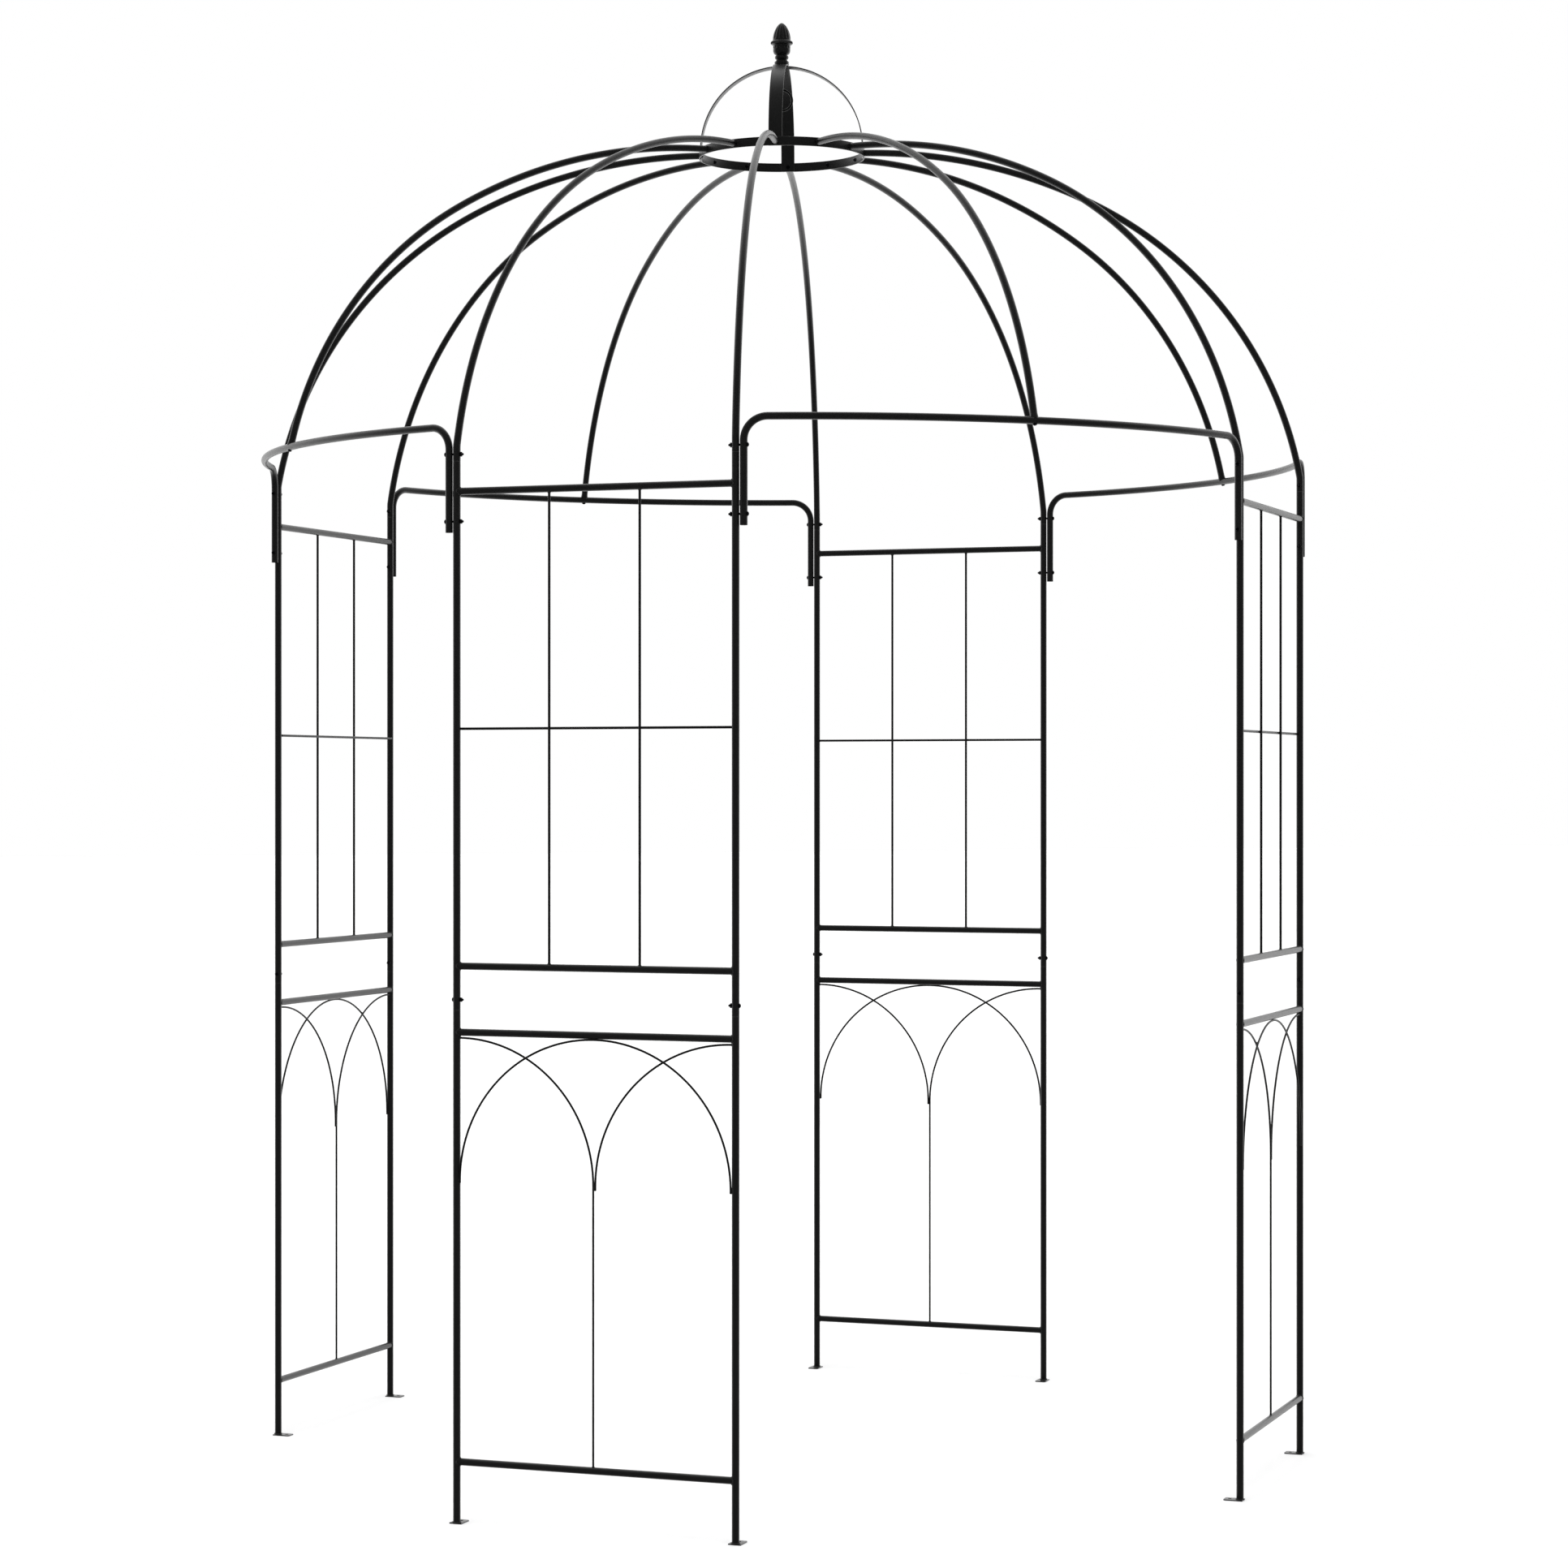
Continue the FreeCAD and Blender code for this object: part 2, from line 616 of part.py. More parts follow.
def crown_ring():
    body = new_body("crown_ring")
    section = new_sketch(body, "section", "XY_Plane")
    section.setExpression("AttachmentOffset.Base.z", "Layout.ring_foot")
    circle(section, "0", "0", "2 * Sizes.ring_radius")
    circle(section, "0", "0", "2 * Layout.ring_bore_radius")
    pad(body, "band", section, "Sizes.ring_height")
    hole = new_sketch(body, "screw_hole", "YZ_Plane")
    hole.setExpression("AttachmentOffset.Base.z", "Sizes.ring_radius")
    circle(hole, "0", "Layout.rib_crown_height", "Sizes.bolt_hole_diameter")
    drilling = pocket(body, "drilling", hole, "8 * Sizes.strip_thickness")
    doc.recompute()
    pattern = body.newObject("PartDesign::PolarPattern", "screw_holes")
    pattern.Originals = [drilling]
    pattern.Axis = (section, ["N_Axis"])
    pattern.Angle = 360
    pattern.Occurrences = len(RIB_ANGLES)
    body.Tip = pattern
    return body


def crown_hoop(label, drop):
    """A strip hoop in the XZ plane whose top is lower by drop than the upper hoop's top."""
    body = new_body(label)
    profile = new_sketch(body, "edge_view", "XZ_Plane")
    spring = f"Layout.ring_foot + Sizes.hoop_leg_length - {drop}"
    outer, inner = "Layout.hoop_radius", "Layout.hoop_bore_radius"
    outline(profile, [
        (f"-{outer}", "Layout.ring_foot"),
        (f"-{outer}", spring),
        ("0", f"{spring} + {outer}", outer, 1),
        (outer, spring, outer, 1),
        (outer, "Layout.ring_foot"),
        (inner, "Layout.ring_foot"),
        (inner, spring),
        ("0", f"{spring} + {inner}", inner, -1),
        (f"-{inner}", spring, inner, -1),
        (f"-{inner}", "Layout.ring_foot"),
    ])
    pad(body, "strip", profile, "Sizes.strip_width", symmetric=True)
    screws = new_sketch(body, "screw_holes", "YZ_Plane")
    circle(screws, "0", "Layout.rib_crown_height", "Sizes.bolt_hole_diameter")
    pocket(body, "leg_drilling", screws, "4 * Layout.hoop_radius")
    hook = new_sketch(body, "hook_hole", "XY_Plane")
    hook.setExpression("AttachmentOffset.Base.z", "Layout.hoop_top")
    circle(hook, "0", "0", "Sizes.hook_hole_diameter")
    pocket(body, "top_drilling", hook, "2 * Sizes.hoop_leg_length")
    return body


def finial():
    """An acorn in a rimmed cup on a turned neck, bored from below for the hook's shank."""
    body = new_body("finial")
    profile = new_sketch(body, "profile", "XZ_Plane")
    bore = "Sizes.hook_wire_diameter / 2 + Sizes.thread_clearance"
    bore_top = "Sizes.hook_grip + Sizes.slip_clearance"
    bead_chord = "(Sizes.finial_waist_height - Sizes.finial_neck_height)"
    bead = f"({bead_chord} ^ 2 / 4 + Sizes.finial_bead_bulge ^ 2) / (2 * Sizes.finial_bead_bulge)"
    rim_chord = "Sizes.finial_rim_thickness"
    rim = f"({rim_chord} ^ 2 / 4 + Sizes.finial_rim_bulge ^ 2) / (2 * Sizes.finial_rim_bulge)"
    outline(profile, [
        (bore, "0"),
        ("Sizes.finial_base_radius", "0"),
        ("Sizes.finial_base_radius", "Sizes.finial_base_height"),
        ("Sizes.finial_neck_radius", "Sizes.finial_neck_height"),
        ("Sizes.finial_neck_radius", "Sizes.finial_waist_height", bead, -1),
        ("Sizes.finial_waist_radius", "Sizes.finial_waist_height"),
        ("Sizes.finial_cup_radius", "Sizes.finial_cup_height"),
        ("Sizes.finial_rim_radius", "Sizes.finial_rim_height"),
        ("Sizes.finial_rim_radius", f"Sizes.finial_rim_height + {rim_chord}", rim, -1),
        ("Sizes.finial_tip_radius", "Sizes.finial_height", "Sizes.finial_acorn_curve", -1),
        ("0", "Sizes.finial_height"),
        ("0", bore_top),
        (bore, bore_top),
    ])
    revolve(body, "turning", profile)
    return body


def lantern_hook():
    """A wire hook: a shank on the axis, a small neck bend and a round open bowl below it."""
    body = new_body("lantern_hook")
    path = new_sketch(body, "path", "XZ_Plane")
    neck, bowl, centre = "Sizes.hook_neck_radius", "Sizes.hook_bowl_radius", "Layout.hook_bowl_height"
    shank_top = "Layout.hoop_top + Sizes.hook_grip"
    tip = "Sizes.hook_tip_angle * 1deg"
    outline(path, [
        ("0", shank_top),
        ("0", f"{centre} + Layout.hook_rise"),
        ("Layout.hook_touch_x", "Layout.hook_touch_z", neck, -1),
        (bowl, centre, bowl, 1),
        ("0", f"{centre} - {bowl}", bowl, 1),
        (f"-{bowl}", centre, bowl, 1),
        (f"{bowl} * cos({tip})", f"{centre} + {bowl} * sin({tip})", bowl, 1),
    ], closed=False)
    section = new_sketch(body, "section", "XY_Plane")
    section.setExpression("AttachmentOffset.Base.z", shank_top)
    circle(section, "0", "0", "Sizes.hook_wire_diameter")
    pipe(body, "wire", section, path)
    return body


# ---------------------------------------------------------------- fasteners and small pieces


def bolt(label, length):
    """A domed bolt along +Z, with the seat of its head at the origin."""
    body = new_body(label)
    profile = new_sketch(body, "profile", "XZ_Plane")
    head, shank = "Sizes.bolt_head_diameter / 2", "Sizes.bolt_diameter / 2"
    dome = "(Sizes.bolt_head_height - Sizes.bolt_head_rim)"
    outline(profile, [
        ("0", "-Sizes.bolt_head_height"),
        (head, "-Sizes.bolt_head_rim", f"(({head}) ^ 2 + {dome} ^ 2) / (2 * {dome})", -1),
        (head, "0"),
        (shank, "0"),
        (shank, length),
        ("0", length),
    ])
    revolve(body, "turning", profile)
    return body


def hexagon_nut(label, screw_diameter):
    """A hexagon nut along +Z, with its seat at the origin."""
    prism = doc.addObject("Part::Prism", f"{label}_blank")
    prism.Polygon = 6
    prism.setExpression("Circumradius", "Sizes.nut_width / 2 / cos(30deg)")
    prism.setExpression("Height", "Sizes.nut_height")
    bore = doc.addObject("Part::Cylinder", f"{label}_bore")
    bore.setExpression("Radius", f"{screw_diameter} / 2 + Sizes.thread_clearance")
    bore.setExpression("Height", "Sizes.nut_height")
    nut = doc.addObject("Part::Cut", label)
    nut.Base = prism
    nut.Tool = bore
    return nut


def insert():
    """A round threaded insert along +Z that sits inside the end of a rib."""
    outside = doc.addObject("Part::Cylinder", "insert_blank")
    outside.setExpression("Radius", "Layout.tube_bore / 2 - Sizes.slip_clearance")
    outside.setExpression("Height", "Sizes.insert_length")
    thread = doc.addObject("Part::Cylinder", "insert_thread")
    thread.setExpression("Radius", "Sizes.bolt_diameter / 2 + Sizes.thread_clearance")
    thread.setExpression("Height", "Sizes.insert_length")
    piece = doc.addObject("Part::Cut", "insert")
    piece.Base = outside
    piece.Tool = thread
    return piece


def foot_tab():
    """A flat tab under a post that reaches inwards, with rounded corners and a hole for a ground peg."""
    body = new_body("foot_tab")
    plan = new_sketch(body, "plan", "XY_Plane")
    half, corner = "Sizes.tab_width / 2", "Sizes.tab_corner_radius"
    inner = "(Layout.tube_radius + Sizes.tab_reach)"
    outline(plan, [
        ("Layout.tube_radius", half),
        (f"-{inner} + {corner}", half),
        (f"-{inner}", f"{half} - {corner}", corner, -1),
        (f"-{inner}", f"-{half} + {corner}"),
        (f"-{inner} + {corner}", f"-{half}", corner, -1),
        ("Layout.tube_radius", f"-{half}"),
    ])
    circle(plan, "-Layout.tube_radius - Sizes.tab_hole_reach", "0", "Sizes.tab_hole_diameter")
    pad(body, "plate", plan, "Sizes.tab_thickness")
    return body


# ---------------------------------------------------------------- assembly


def build_panels():
    for index, angle in enumerate(PANEL_ANGLES, start=1):
        panel = f"panel_{index}"
        for side, sign in SIDES.items():
            lower = post_tube(
                f"{panel}_lower_{side}_post",
                "Sizes.tab_thickness",
                "Sizes.post_seam_height",
                "Sizes.seam_spigot_length",
                ["Layout.joint_bolt_height"],
            )
            upper = post_tube(
                f"{panel}_upper_{side}_post",
                "Sizes.post_seam_height",
                "Layout.post_top",
                "Sizes.rib_spigot_length",
                ["Layout.joint_bolt_height", "Layout.lower_tie_bolt_height", "Layout.upper_tie_bolt_height"],
            )
            for post in (lower, upper):
                place(post, angle, "Layout.panel_distance", f"{sign} * Layout.post_half_spacing", "0")
                nodes.append(post)
            side_rib = post_rib(f"{panel}_{side}_rib", sign)
            place(side_rib, angle + sign * number("Sizes.post_half_angle"), "0", "0", "0")
            nodes.append(side_rib)
        flat_pieces = (
            rail_pair(f"{panel}_lower_rails", ["Sizes.foot_rail_height", "Layout.waist_rail"]),
            rail_pair(f"{panel}_upper_rails", ["Layout.grid_rail", "Layout.head_rail"]),
            arch_wires(f"{panel}_arch_wires"),
            grid_wires(f"{panel}_grid_wires"),
        )
        for piece in flat_pieces:
            place(piece, angle, "Layout.panel_distance", "0", "0")
            nodes.append(piece)


def build_doorways():
    shape = tie_bar_shape()
    for index, angle in enumerate(DOORWAY_ANGLES, start=1):
        bar = doc.addObject("Part::Feature", f"doorway_{index}_tie_bar")
        bar.Label = f"doorway_{index}_tie_bar"
        bar.Shape = shape.copy()
        place(bar, angle, "0", "0", "0")
        nodes.append(bar)
        middle_rib = tie_rib(f"doorway_{index}_rib")
        place(middle_rib, angle, "0", "0", "0")
        nodes.append(middle_rib)


def build_crown():
    upper_hoop = crown_hoop("upper_crown_hoop", "0")
    lower_hoop = crown_hoop("lower_crown_hoop", "Layout.hoop_drop")
    place(upper_hoop, UPPER_HOOP_ANGLE, "0", "0", "0")
    place(lower_hoop, LOWER_HOOP_ANGLE, "0", "0", "0")
    tip = finial()
    place(tip, 0, "0", "0", "Layout.hoop_top")
    hook = lantern_hook()
    place(hook, HOOK_ANGLE, "0", "0", "0")
    nodes.extend([crown_ring(), upper_hoop, lower_hoop, tip, hook])


def build_fasteners():
    nut_stack = "Sizes.nut_height + Sizes.bolt_end"
    joint_bolt = bolt("joint_bolt", f"Sizes.tube_diameter + {nut_stack}")
    tie_bolt = bolt("tie_bolt", f"2 * Sizes.tube_diameter + Sizes.leg_gap + {nut_stack}")
    base_screw = bolt("base_screw", "Sizes.tube_diameter + Sizes.insert_length")
    ring_screw = bolt("ring_screw", "Sizes.strip_thickness + Sizes.insert_length")
    hoop_screw = bolt("hoop_screw", "Sizes.ring_radius - Layout.hoop_bore_radius + Sizes.insert_length")
    bolt_nut = hexagon_nut("bolt_nut", "Sizes.bolt_diameter")
    shank_nut = hexagon_nut("shank_nut", "Sizes.hook_wire_diameter")
    tab = foot_tab()
    rib_insert = insert()
    tabs, joint_bolts, tie_bolts, nuts, screws, inserts = [], [], [], [], [], []
    for angle in PANEL_ANGLES:
        for side, sign in SIDES.items():
            turn = ALONG_PANEL[side]
            distance = "Layout.panel_distance"
            post = f"{sign} * Layout.post_half_spacing"
            door_face = f"{sign} * (Layout.post_half_spacing + Layout.tube_radius)"
            leg_face = f"{sign} * (Layout.leg_half_spacing + Layout.tube_radius)"
            panel_face = f"{sign} * (Layout.post_half_spacing - Layout.tube_radius)"
            tabs.append((tab, (angle, distance, post, "0")))
            joint_bolts.append((joint_bolt, (angle, distance, door_face, "Layout.joint_bolt_height", turn)))
            nuts.append((bolt_nut, (angle, distance, panel_face, "Layout.joint_bolt_height", turn)))
            for height in ("Layout.lower_tie_bolt_height", "Layout.upper_tie_bolt_height"):
                tie_bolts.append((tie_bolt, (angle, distance, leg_face, height, turn)))
                nuts.append((bolt_nut, (angle, distance, panel_face, height, turn)))
    for angle in RIB_ANGLES:
        behind_hoop = angle % 180 in (UPPER_HOOP_ANGLE % 180, LOWER_HOOP_ANGLE)
        seat = "Layout.hoop_bore_radius" if behind_hoop else "Layout.ring_bore_radius"
        where = (angle, f"{seat} - Sizes.seat_clearance", "0", "Layout.rib_crown_height", OUTWARDS)
        screws.append((hoop_screw if behind_hoop else ring_screw, where))
        inserts.append((rib_insert, (angle, "Sizes.ring_radius", "0", "Layout.rib_crown_height", OUTWARDS)))
    lean = FreeCAD.Rotation(FreeCAD.Vector(0, 1, 0), -number("Sizes.tie_rib_lean"))
    surface = "(Layout.tube_radius + Sizes.seat_clearance)"
    for angle in DOORWAY_ANGLES:
        for piece, pile, side in ((base_screw, screws, -1), (rib_insert, inserts, 1)):
            x = f"Layout.tie_bar_reach - {side} * {surface} * Layout.tie_rib_lean_x"
            z = f"Layout.tie_bar_height + {side} * {surface} * Layout.tie_rib_lean_z"
            pile.append((piece, (angle, x, "0", z, lean)))
    group("foot_tabs", tabs)
    group("post_joint_bolts", joint_bolts)
    group("tie_bar_bolts", tie_bolts)
    group("bolt_nuts", nuts)
    group("rib_screws", screws)
    group("rib_inserts", inserts)
    group("hook_nut", [(shank_nut, (0, "0", "0", "Layout.hook_nut_seat - Sizes.nut_height"))])


def check_and_export():
    doc.recompute()
    for item in doc.Objects:
        if "Invalid" in item.State or "Error" in item.State:
            raise RuntimeError(f"{item.Label} is {item.State}")
    os.makedirs("parts", exist_ok=True)
    for node in nodes:
        if node.Shape.isNull() or not node.Shape.isValid():
            raise RuntimeError(f"{node.Label} has no valid shape")
    for node in nodes:
        node.Shape.exportStep(f"parts/{node.Label}.step")
        print(f"{node.Label}: {len(node.Shape.Solids)} solids, {node.Shape.Volume:.0f} mm3")


fill(sizes, SIZES)
fill(layout, LAYOUT, "=")
doc.recompute()
build_panels()
build_doorways()
build_crown()
build_fasteners()
check_and_export()
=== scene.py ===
import math

import bmesh
import bpy
from mathutils import Matrix, Vector


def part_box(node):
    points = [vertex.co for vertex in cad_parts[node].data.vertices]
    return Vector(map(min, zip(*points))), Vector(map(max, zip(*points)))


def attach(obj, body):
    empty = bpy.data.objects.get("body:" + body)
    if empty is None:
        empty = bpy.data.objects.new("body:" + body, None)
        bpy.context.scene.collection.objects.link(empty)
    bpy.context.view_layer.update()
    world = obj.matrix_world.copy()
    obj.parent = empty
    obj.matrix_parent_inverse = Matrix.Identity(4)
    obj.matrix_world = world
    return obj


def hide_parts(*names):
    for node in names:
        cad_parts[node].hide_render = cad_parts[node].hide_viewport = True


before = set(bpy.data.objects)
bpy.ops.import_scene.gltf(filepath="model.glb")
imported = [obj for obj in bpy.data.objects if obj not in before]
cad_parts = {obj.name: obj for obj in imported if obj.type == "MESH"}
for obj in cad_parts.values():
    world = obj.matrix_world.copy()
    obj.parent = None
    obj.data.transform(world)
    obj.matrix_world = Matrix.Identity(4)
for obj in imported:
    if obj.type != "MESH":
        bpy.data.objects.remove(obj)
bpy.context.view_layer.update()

# Metal trellis arch: a round garden gazebo of black powder-coated steel tube.
#
# Shapes are worked out in millimetres and turned to metres when a mesh is made. Main places come
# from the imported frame. The sizes below are the same as in the CAD part.

MM = 0.001
TUBE = 13.0
TUBE_WALL = 0.8
RAIL = 12.6
GRID_WIRE = 4.6
ARCH_WIRE = 3.7
HOOK_WIRE = 4.5
WELD_GAP = 0.1
LEG_GAP = 1.5
STRIP_THICKNESS = 2.0
STRIP_WIDTH = 26.0
TIE_CORNER = 40.0
RIB_BEND = 40.0
POST_RIB_LEAN = math.radians(10.3)
POST_RIB_JOINT = math.radians(62.9)
TIE_RIB_LEAN = math.radians(14.0)
TIE_RIB_JOINT = math.radians(58.6)
RIB_FOOT_MARGIN = 5.0
TIE_RIB_BASE = 21.5
TIE_RIB_OVERLAP = 2.5
ARCH_TAIL = 4.0
HALF_ARCH_DROP = 2.5
HALF_ARCH_LEAD = 1.0
SEAT = 0.1
BOLT_SHANK = 4.0
BOLT_HEAD = 8.0
BOLT_HEAD_HEIGHT = 2.8
NUT_WIDTH = 7.2
NUT_HEIGHT = 3.2
BOLT_END = 3.0
INSERT_LENGTH = 10.0

PANEL_ANGLES = {1: 45, 2: 135, 3: 225, 4: 315}
DOORWAY_ANGLES = {1: 0, 2: 90, 3: 180, 4: 270}
SIDES = {"left": -1, "right": 1}
UPPER_HOOP_ANGLE = 330
LOWER_HOOP_ANGLE = 60
HOOK_ANGLE = 66


# ---------- places from the frame


def low(node):
    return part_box(node)[0] / MM


def high(node):
    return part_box(node)[1] / MM


left_post = (low("panel_1_lower_left_post") + high("panel_1_lower_left_post")) / 2
diagonal = Vector((1, 1, 0)).normalized()
panel_distance = left_post.dot(diagonal)
post_half_spacing = (left_post - diagonal * panel_distance).xy.length
post_radius = left_post.xy.length
post_half_angle = math.degrees(math.atan2(post_half_spacing, panel_distance))
post_foot = low("panel_1_lower_left_post").z
post_seam = low("panel_1_upper_left_post").z
post_top = low("panel_1_left_rib").z
spigot_top = high("panel_1_upper_left_post").z
foot_rail = low("panel_1_lower_rails").z + RAIL / 2
waist_rail = high("panel_1_lower_rails").z - RAIL / 2
grid_rail = low("panel_1_upper_rails").z + RAIL / 2
head_rail = high("panel_1_upper_rails").z - RAIL / 2
grid_middle = (grid_rail + head_rail) / 2
leg_foot = low("doorway_1_tie_bar").z
tie_height = high("doorway_1_tie_bar").z - TUBE / 2
tie_reach = high("doorway_1_tie_bar").x - TUBE / 2
leg_half_spacing = post_half_spacing + TUBE + LEG_GAP
leg_x = (panel_distance + leg_half_spacing) / math.sqrt(2)
leg_y = (panel_distance - leg_half_spacing) / math.sqrt(2)
joint_bolt_height = (low("post_joint_bolts").z + high("post_joint_bolts").z) / 2
tie_bolt_heights = (
    low("tie_bar_bolts").z + BOLT_HEAD / 2,
    high("tie_bar_bolts").z - BOLT_HEAD / 2,
)
ring_radius = high("crown_ring").x
ring_bore = ring_radius - STRIP_THICKNESS
ring_foot = low("crown_ring").z
ring_height = high("crown_ring").z - ring_foot
crown_height = ring_foot + ring_height / 2
hoop_radius = math.sqrt(ring_bore ** 2 - (STRIP_WIDTH / 2) ** 2) - SEAT
hoop_top = high("upper_crown_hoop").z
lower_hoop_top = high("lower_crown_hoop").z
hook_nut_top = high("hook_nut").z


def turned_about_axis(angle, out, along, height):
    """A point that is out and along in a frame turned by angle degrees about the gazebo's axis."""
    turn = math.radians(angle)
    return Vector((
        out * math.cos(turn) - along * math.sin(turn),
        out * math.sin(turn) + along * math.cos(turn),
        height,
    ))


# ---------- materials


def linear(hex_colour):
    """An sRGB hex colour as linear RGBA."""
    channels = [int(hex_colour[i:i + 2], 16) / 255 for i in (1, 3, 5)]
    return [c / 12.92 if c <= 0.04045 else ((c + 0.055) / 1.055) ** 2.4 for c in channels] + [1.0]


def add_node(tree, kind, inputs=None, **settings):
    """Adds a node, sets its properties, and links or fills its inputs, found by name or place."""
    node = tree.nodes.new(kind)
    for name, value in settings.items():
        setattr(node, name, value)
    for key, value in (inputs or {}).items():
        if isinstance(value, bpy.types.NodeSocket):
            tree.links.new(value, node.inputs[key])
        else:
            node.inputs[key].default_value = value
    return node


def calculated(tree, operation, *values):
    """The result of a maths node."""
    return add_node(tree, "ShaderNodeMath", dict(enumerate(values)), operation=operation).outputs[0]


def per_metre(size_mm):
    """The texture scale that gives features of about this size."""
    return 1 / (size_mm * MM)


CLOUD_SIZE = 90
SPECK_SIZE = 2.2
PEEL_STRENGTH = 0.35
ROUGHNESS_SPREAD = (-0.05, 0.07)
RUBBED_POLISH = -0.2
# The lighter grey of tight edges: partly wear of the coat, partly a painted highlight.
WEAR_AND_HIGHLIGHT_COLOUR = "#4a4a4a"
BLOTCH_SIZE = 4
PIT_SIZE = 0.7
PIT_DEPTH = 0.05
SPANGLE_SIZE = 1.5


def new_material(name):
    """A new material with its tree, its shader and the object coordinates."""
    material = bpy.data.materials.new(name)
    material.use_nodes = True
    tree = material.node_tree
    place = add_node(tree, "ShaderNodeTexCoord").outputs["Object"]
    return material, tree, tree.nodes["Principled BSDF"], place


def coated_steel(name, dark, light, rough, peel_mm, peel_height):
    """Thermoset powder coat, sprayed dry and baked on steel.

    It gives the eye a satin black that is even but never flat: cloudy patches a hand wide where
    the film is thicker, an orange-peel skin that breaks up the highlights, and lighter, polished
    specks on tight edges that are partly wear of the coat and partly a painted highlight.
    """
    material, tree, shader, place = new_material(name)
    clouds = add_node(tree, "ShaderNodeTexNoise", {
        "Vector": place, "Scale": per_metre(CLOUD_SIZE), "Detail": 3.0, "Roughness": 0.55,
    })
    specks = add_node(tree, "ShaderNodeTexNoise", {
        "Vector": place, "Scale": per_metre(SPECK_SIZE), "Detail": 2.0, "Roughness": 0.6,
    })
    peel = add_node(
        tree, "ShaderNodeTexNoise", {"Vector": place, "Scale": per_metre(peel_mm), "Detail": 1.5}
    )
    film = add_node(
        tree, "ShaderNodeMix", {"Factor": clouds.outputs["Fac"], 6: linear(dark), 7: linear(light)},
        data_type="RGBA",
    )
    # Tight edges turn towards a lighter grey in specks: partly wear, partly a painted highlight.
    wear_and_highlight_attribute = add_node(tree, "ShaderNodeAttribute", attribute_name="edge_rub")
    wear_and_highlight = calculated(tree, "MULTIPLY", wear_and_highlight_attribute.outputs["Fac"], specks.outputs["Fac"])
    colour = add_node(tree, "ShaderNodeMix", {
        "Factor": wear_and_highlight, 6: film.outputs[2], 7: linear(WEAR_AND_HIGHLIGHT_COLOUR),
    }, data_type="RGBA")
    smoother, rougher = ROUGHNESS_SPREAD
    roughness = add_node(tree, "ShaderNodeMapRange", {
        "Value": specks.outputs["Fac"], "From Min": 0.3, "From Max": 0.7,
        "To Min": rough + smoother, "To Max": rough + rougher,
    })
    polished = calculated(tree, "MULTIPLY_ADD", wear_and_highlight, RUBBED_POLISH, roughness.outputs[0])
    bump = add_node(tree, "ShaderNodeBump", {
        "Height": peel.outputs["Fac"], "Strength": PEEL_STRENGTH, "Distance": peel_height * MM,
    })
    tree.links.new(colour.outputs[2], shader.inputs["Base Color"])
    tree.links.new(polished, shader.inputs["Roughness"])
    tree.links.new(bump.outputs["Normal"], shader.inputs["Normal"])
    return material


def blackened_zinc(name):
    """Zinc-plated, black-passivated screws: a thin dark film with a metal sheen and fine pits."""
    material, tree, shader, place = new_material(name)
    blotches = add_node(tree, "ShaderNodeTexNoise", {
        "Vector": place, "Scale": per_metre(BLOTCH_SIZE), "Detail": 4.0,
    })
    pits = add_node(tree, "ShaderNodeTexVoronoi", {"Vector": place, "Scale": per_metre(PIT_SIZE)})
    film = add_node(tree, "ShaderNodeMix", {
        "Factor": blotches.outputs["Fac"], 6: linear("#242426"), 7: linear("#35353a"),
    }, data_type="RGBA")
    roughness = add_node(tree, "ShaderNodeMapRange", {
        "Value": blotches.outputs["Fac"], "To Min": 0.38, "To Max": 0.6,
    })
    bump = add_node(tree, "ShaderNodeBump", {
        "Height": pits.outputs["Distance"], "Strength": 0.2, "Distance": PIT_DEPTH * MM,
    })
    tree.links.new(film.outputs[2], shader.inputs["Base Color"])
    tree.links.new(roughness.outputs[0], shader.inputs["Roughness"])
    tree.links.new(bump.outputs["Normal"], shader.inputs["Normal"])
    shader.inputs["Metallic"].default_value = 1.0
    return material


def bright_zinc(name):
    """Clear-passivated zinc on the threaded inserts: pale, slightly blue and finely spangled."""
    material, tree, shader, place = new_material(name)
    spangle = add_node(tree, "ShaderNodeTexVoronoi", {
        "Vector": place, "Scale": per_metre(SPANGLE_SIZE),
    })
    film = add_node(tree, "ShaderNodeMix", {
        "Factor": spangle.outputs["Distance"], 6: linear("#b9bdc2"), 7: linear("#d2d4d6"),
    }, data_type="RGBA")
    tree.links.new(film.outputs[2], shader.inputs["Base Color"])
    shader.inputs["Roughness"].default_value = 0.35
    shader.inputs["Metallic"].default_value = 1.0
    return material


tube_powder_coat = coated_steel("satin_powder_coat_on_tube", "#0f0f0f", "#161616", 0.35, 1.6, 0.025)
wire_powder_coat = coated_steel("satin_powder_coat_on_wire", "#060606", "#0b0b0b", 0.46, 1.2, 0.02)
strip_powder_coat = coated_steel(
    "satin_powder_coat_on_strip", "#0e0e0e", "#151515", 0.36, 1.8, 0.02
)
casting_powder_coat = coated_steel("powder_coat_on_casting", "#0d0d0d", "#161616", 0.32, 1.1, 0.05)
weld_powder_coat = coated_steel("powder_coat_over_weld", "#090909", "#111111", 0.5, 0.9, 0.05)
black_screw_finish = blackened_zinc("black_passivated_zinc")
bright_insert_finish = bright_zinc("clear_passivated_zinc")

# Sides round a drawn bar, its slot and its finish.
TUBE_LOOK = (48, "tube_coat", tube_powder_coat)
WIRE_LOOK = (20, "wire_coat", wire_powder_coat)
HOOK_LOOK = (24, "wire_coat", wire_powder_coat)


# ---------- geometry node trees


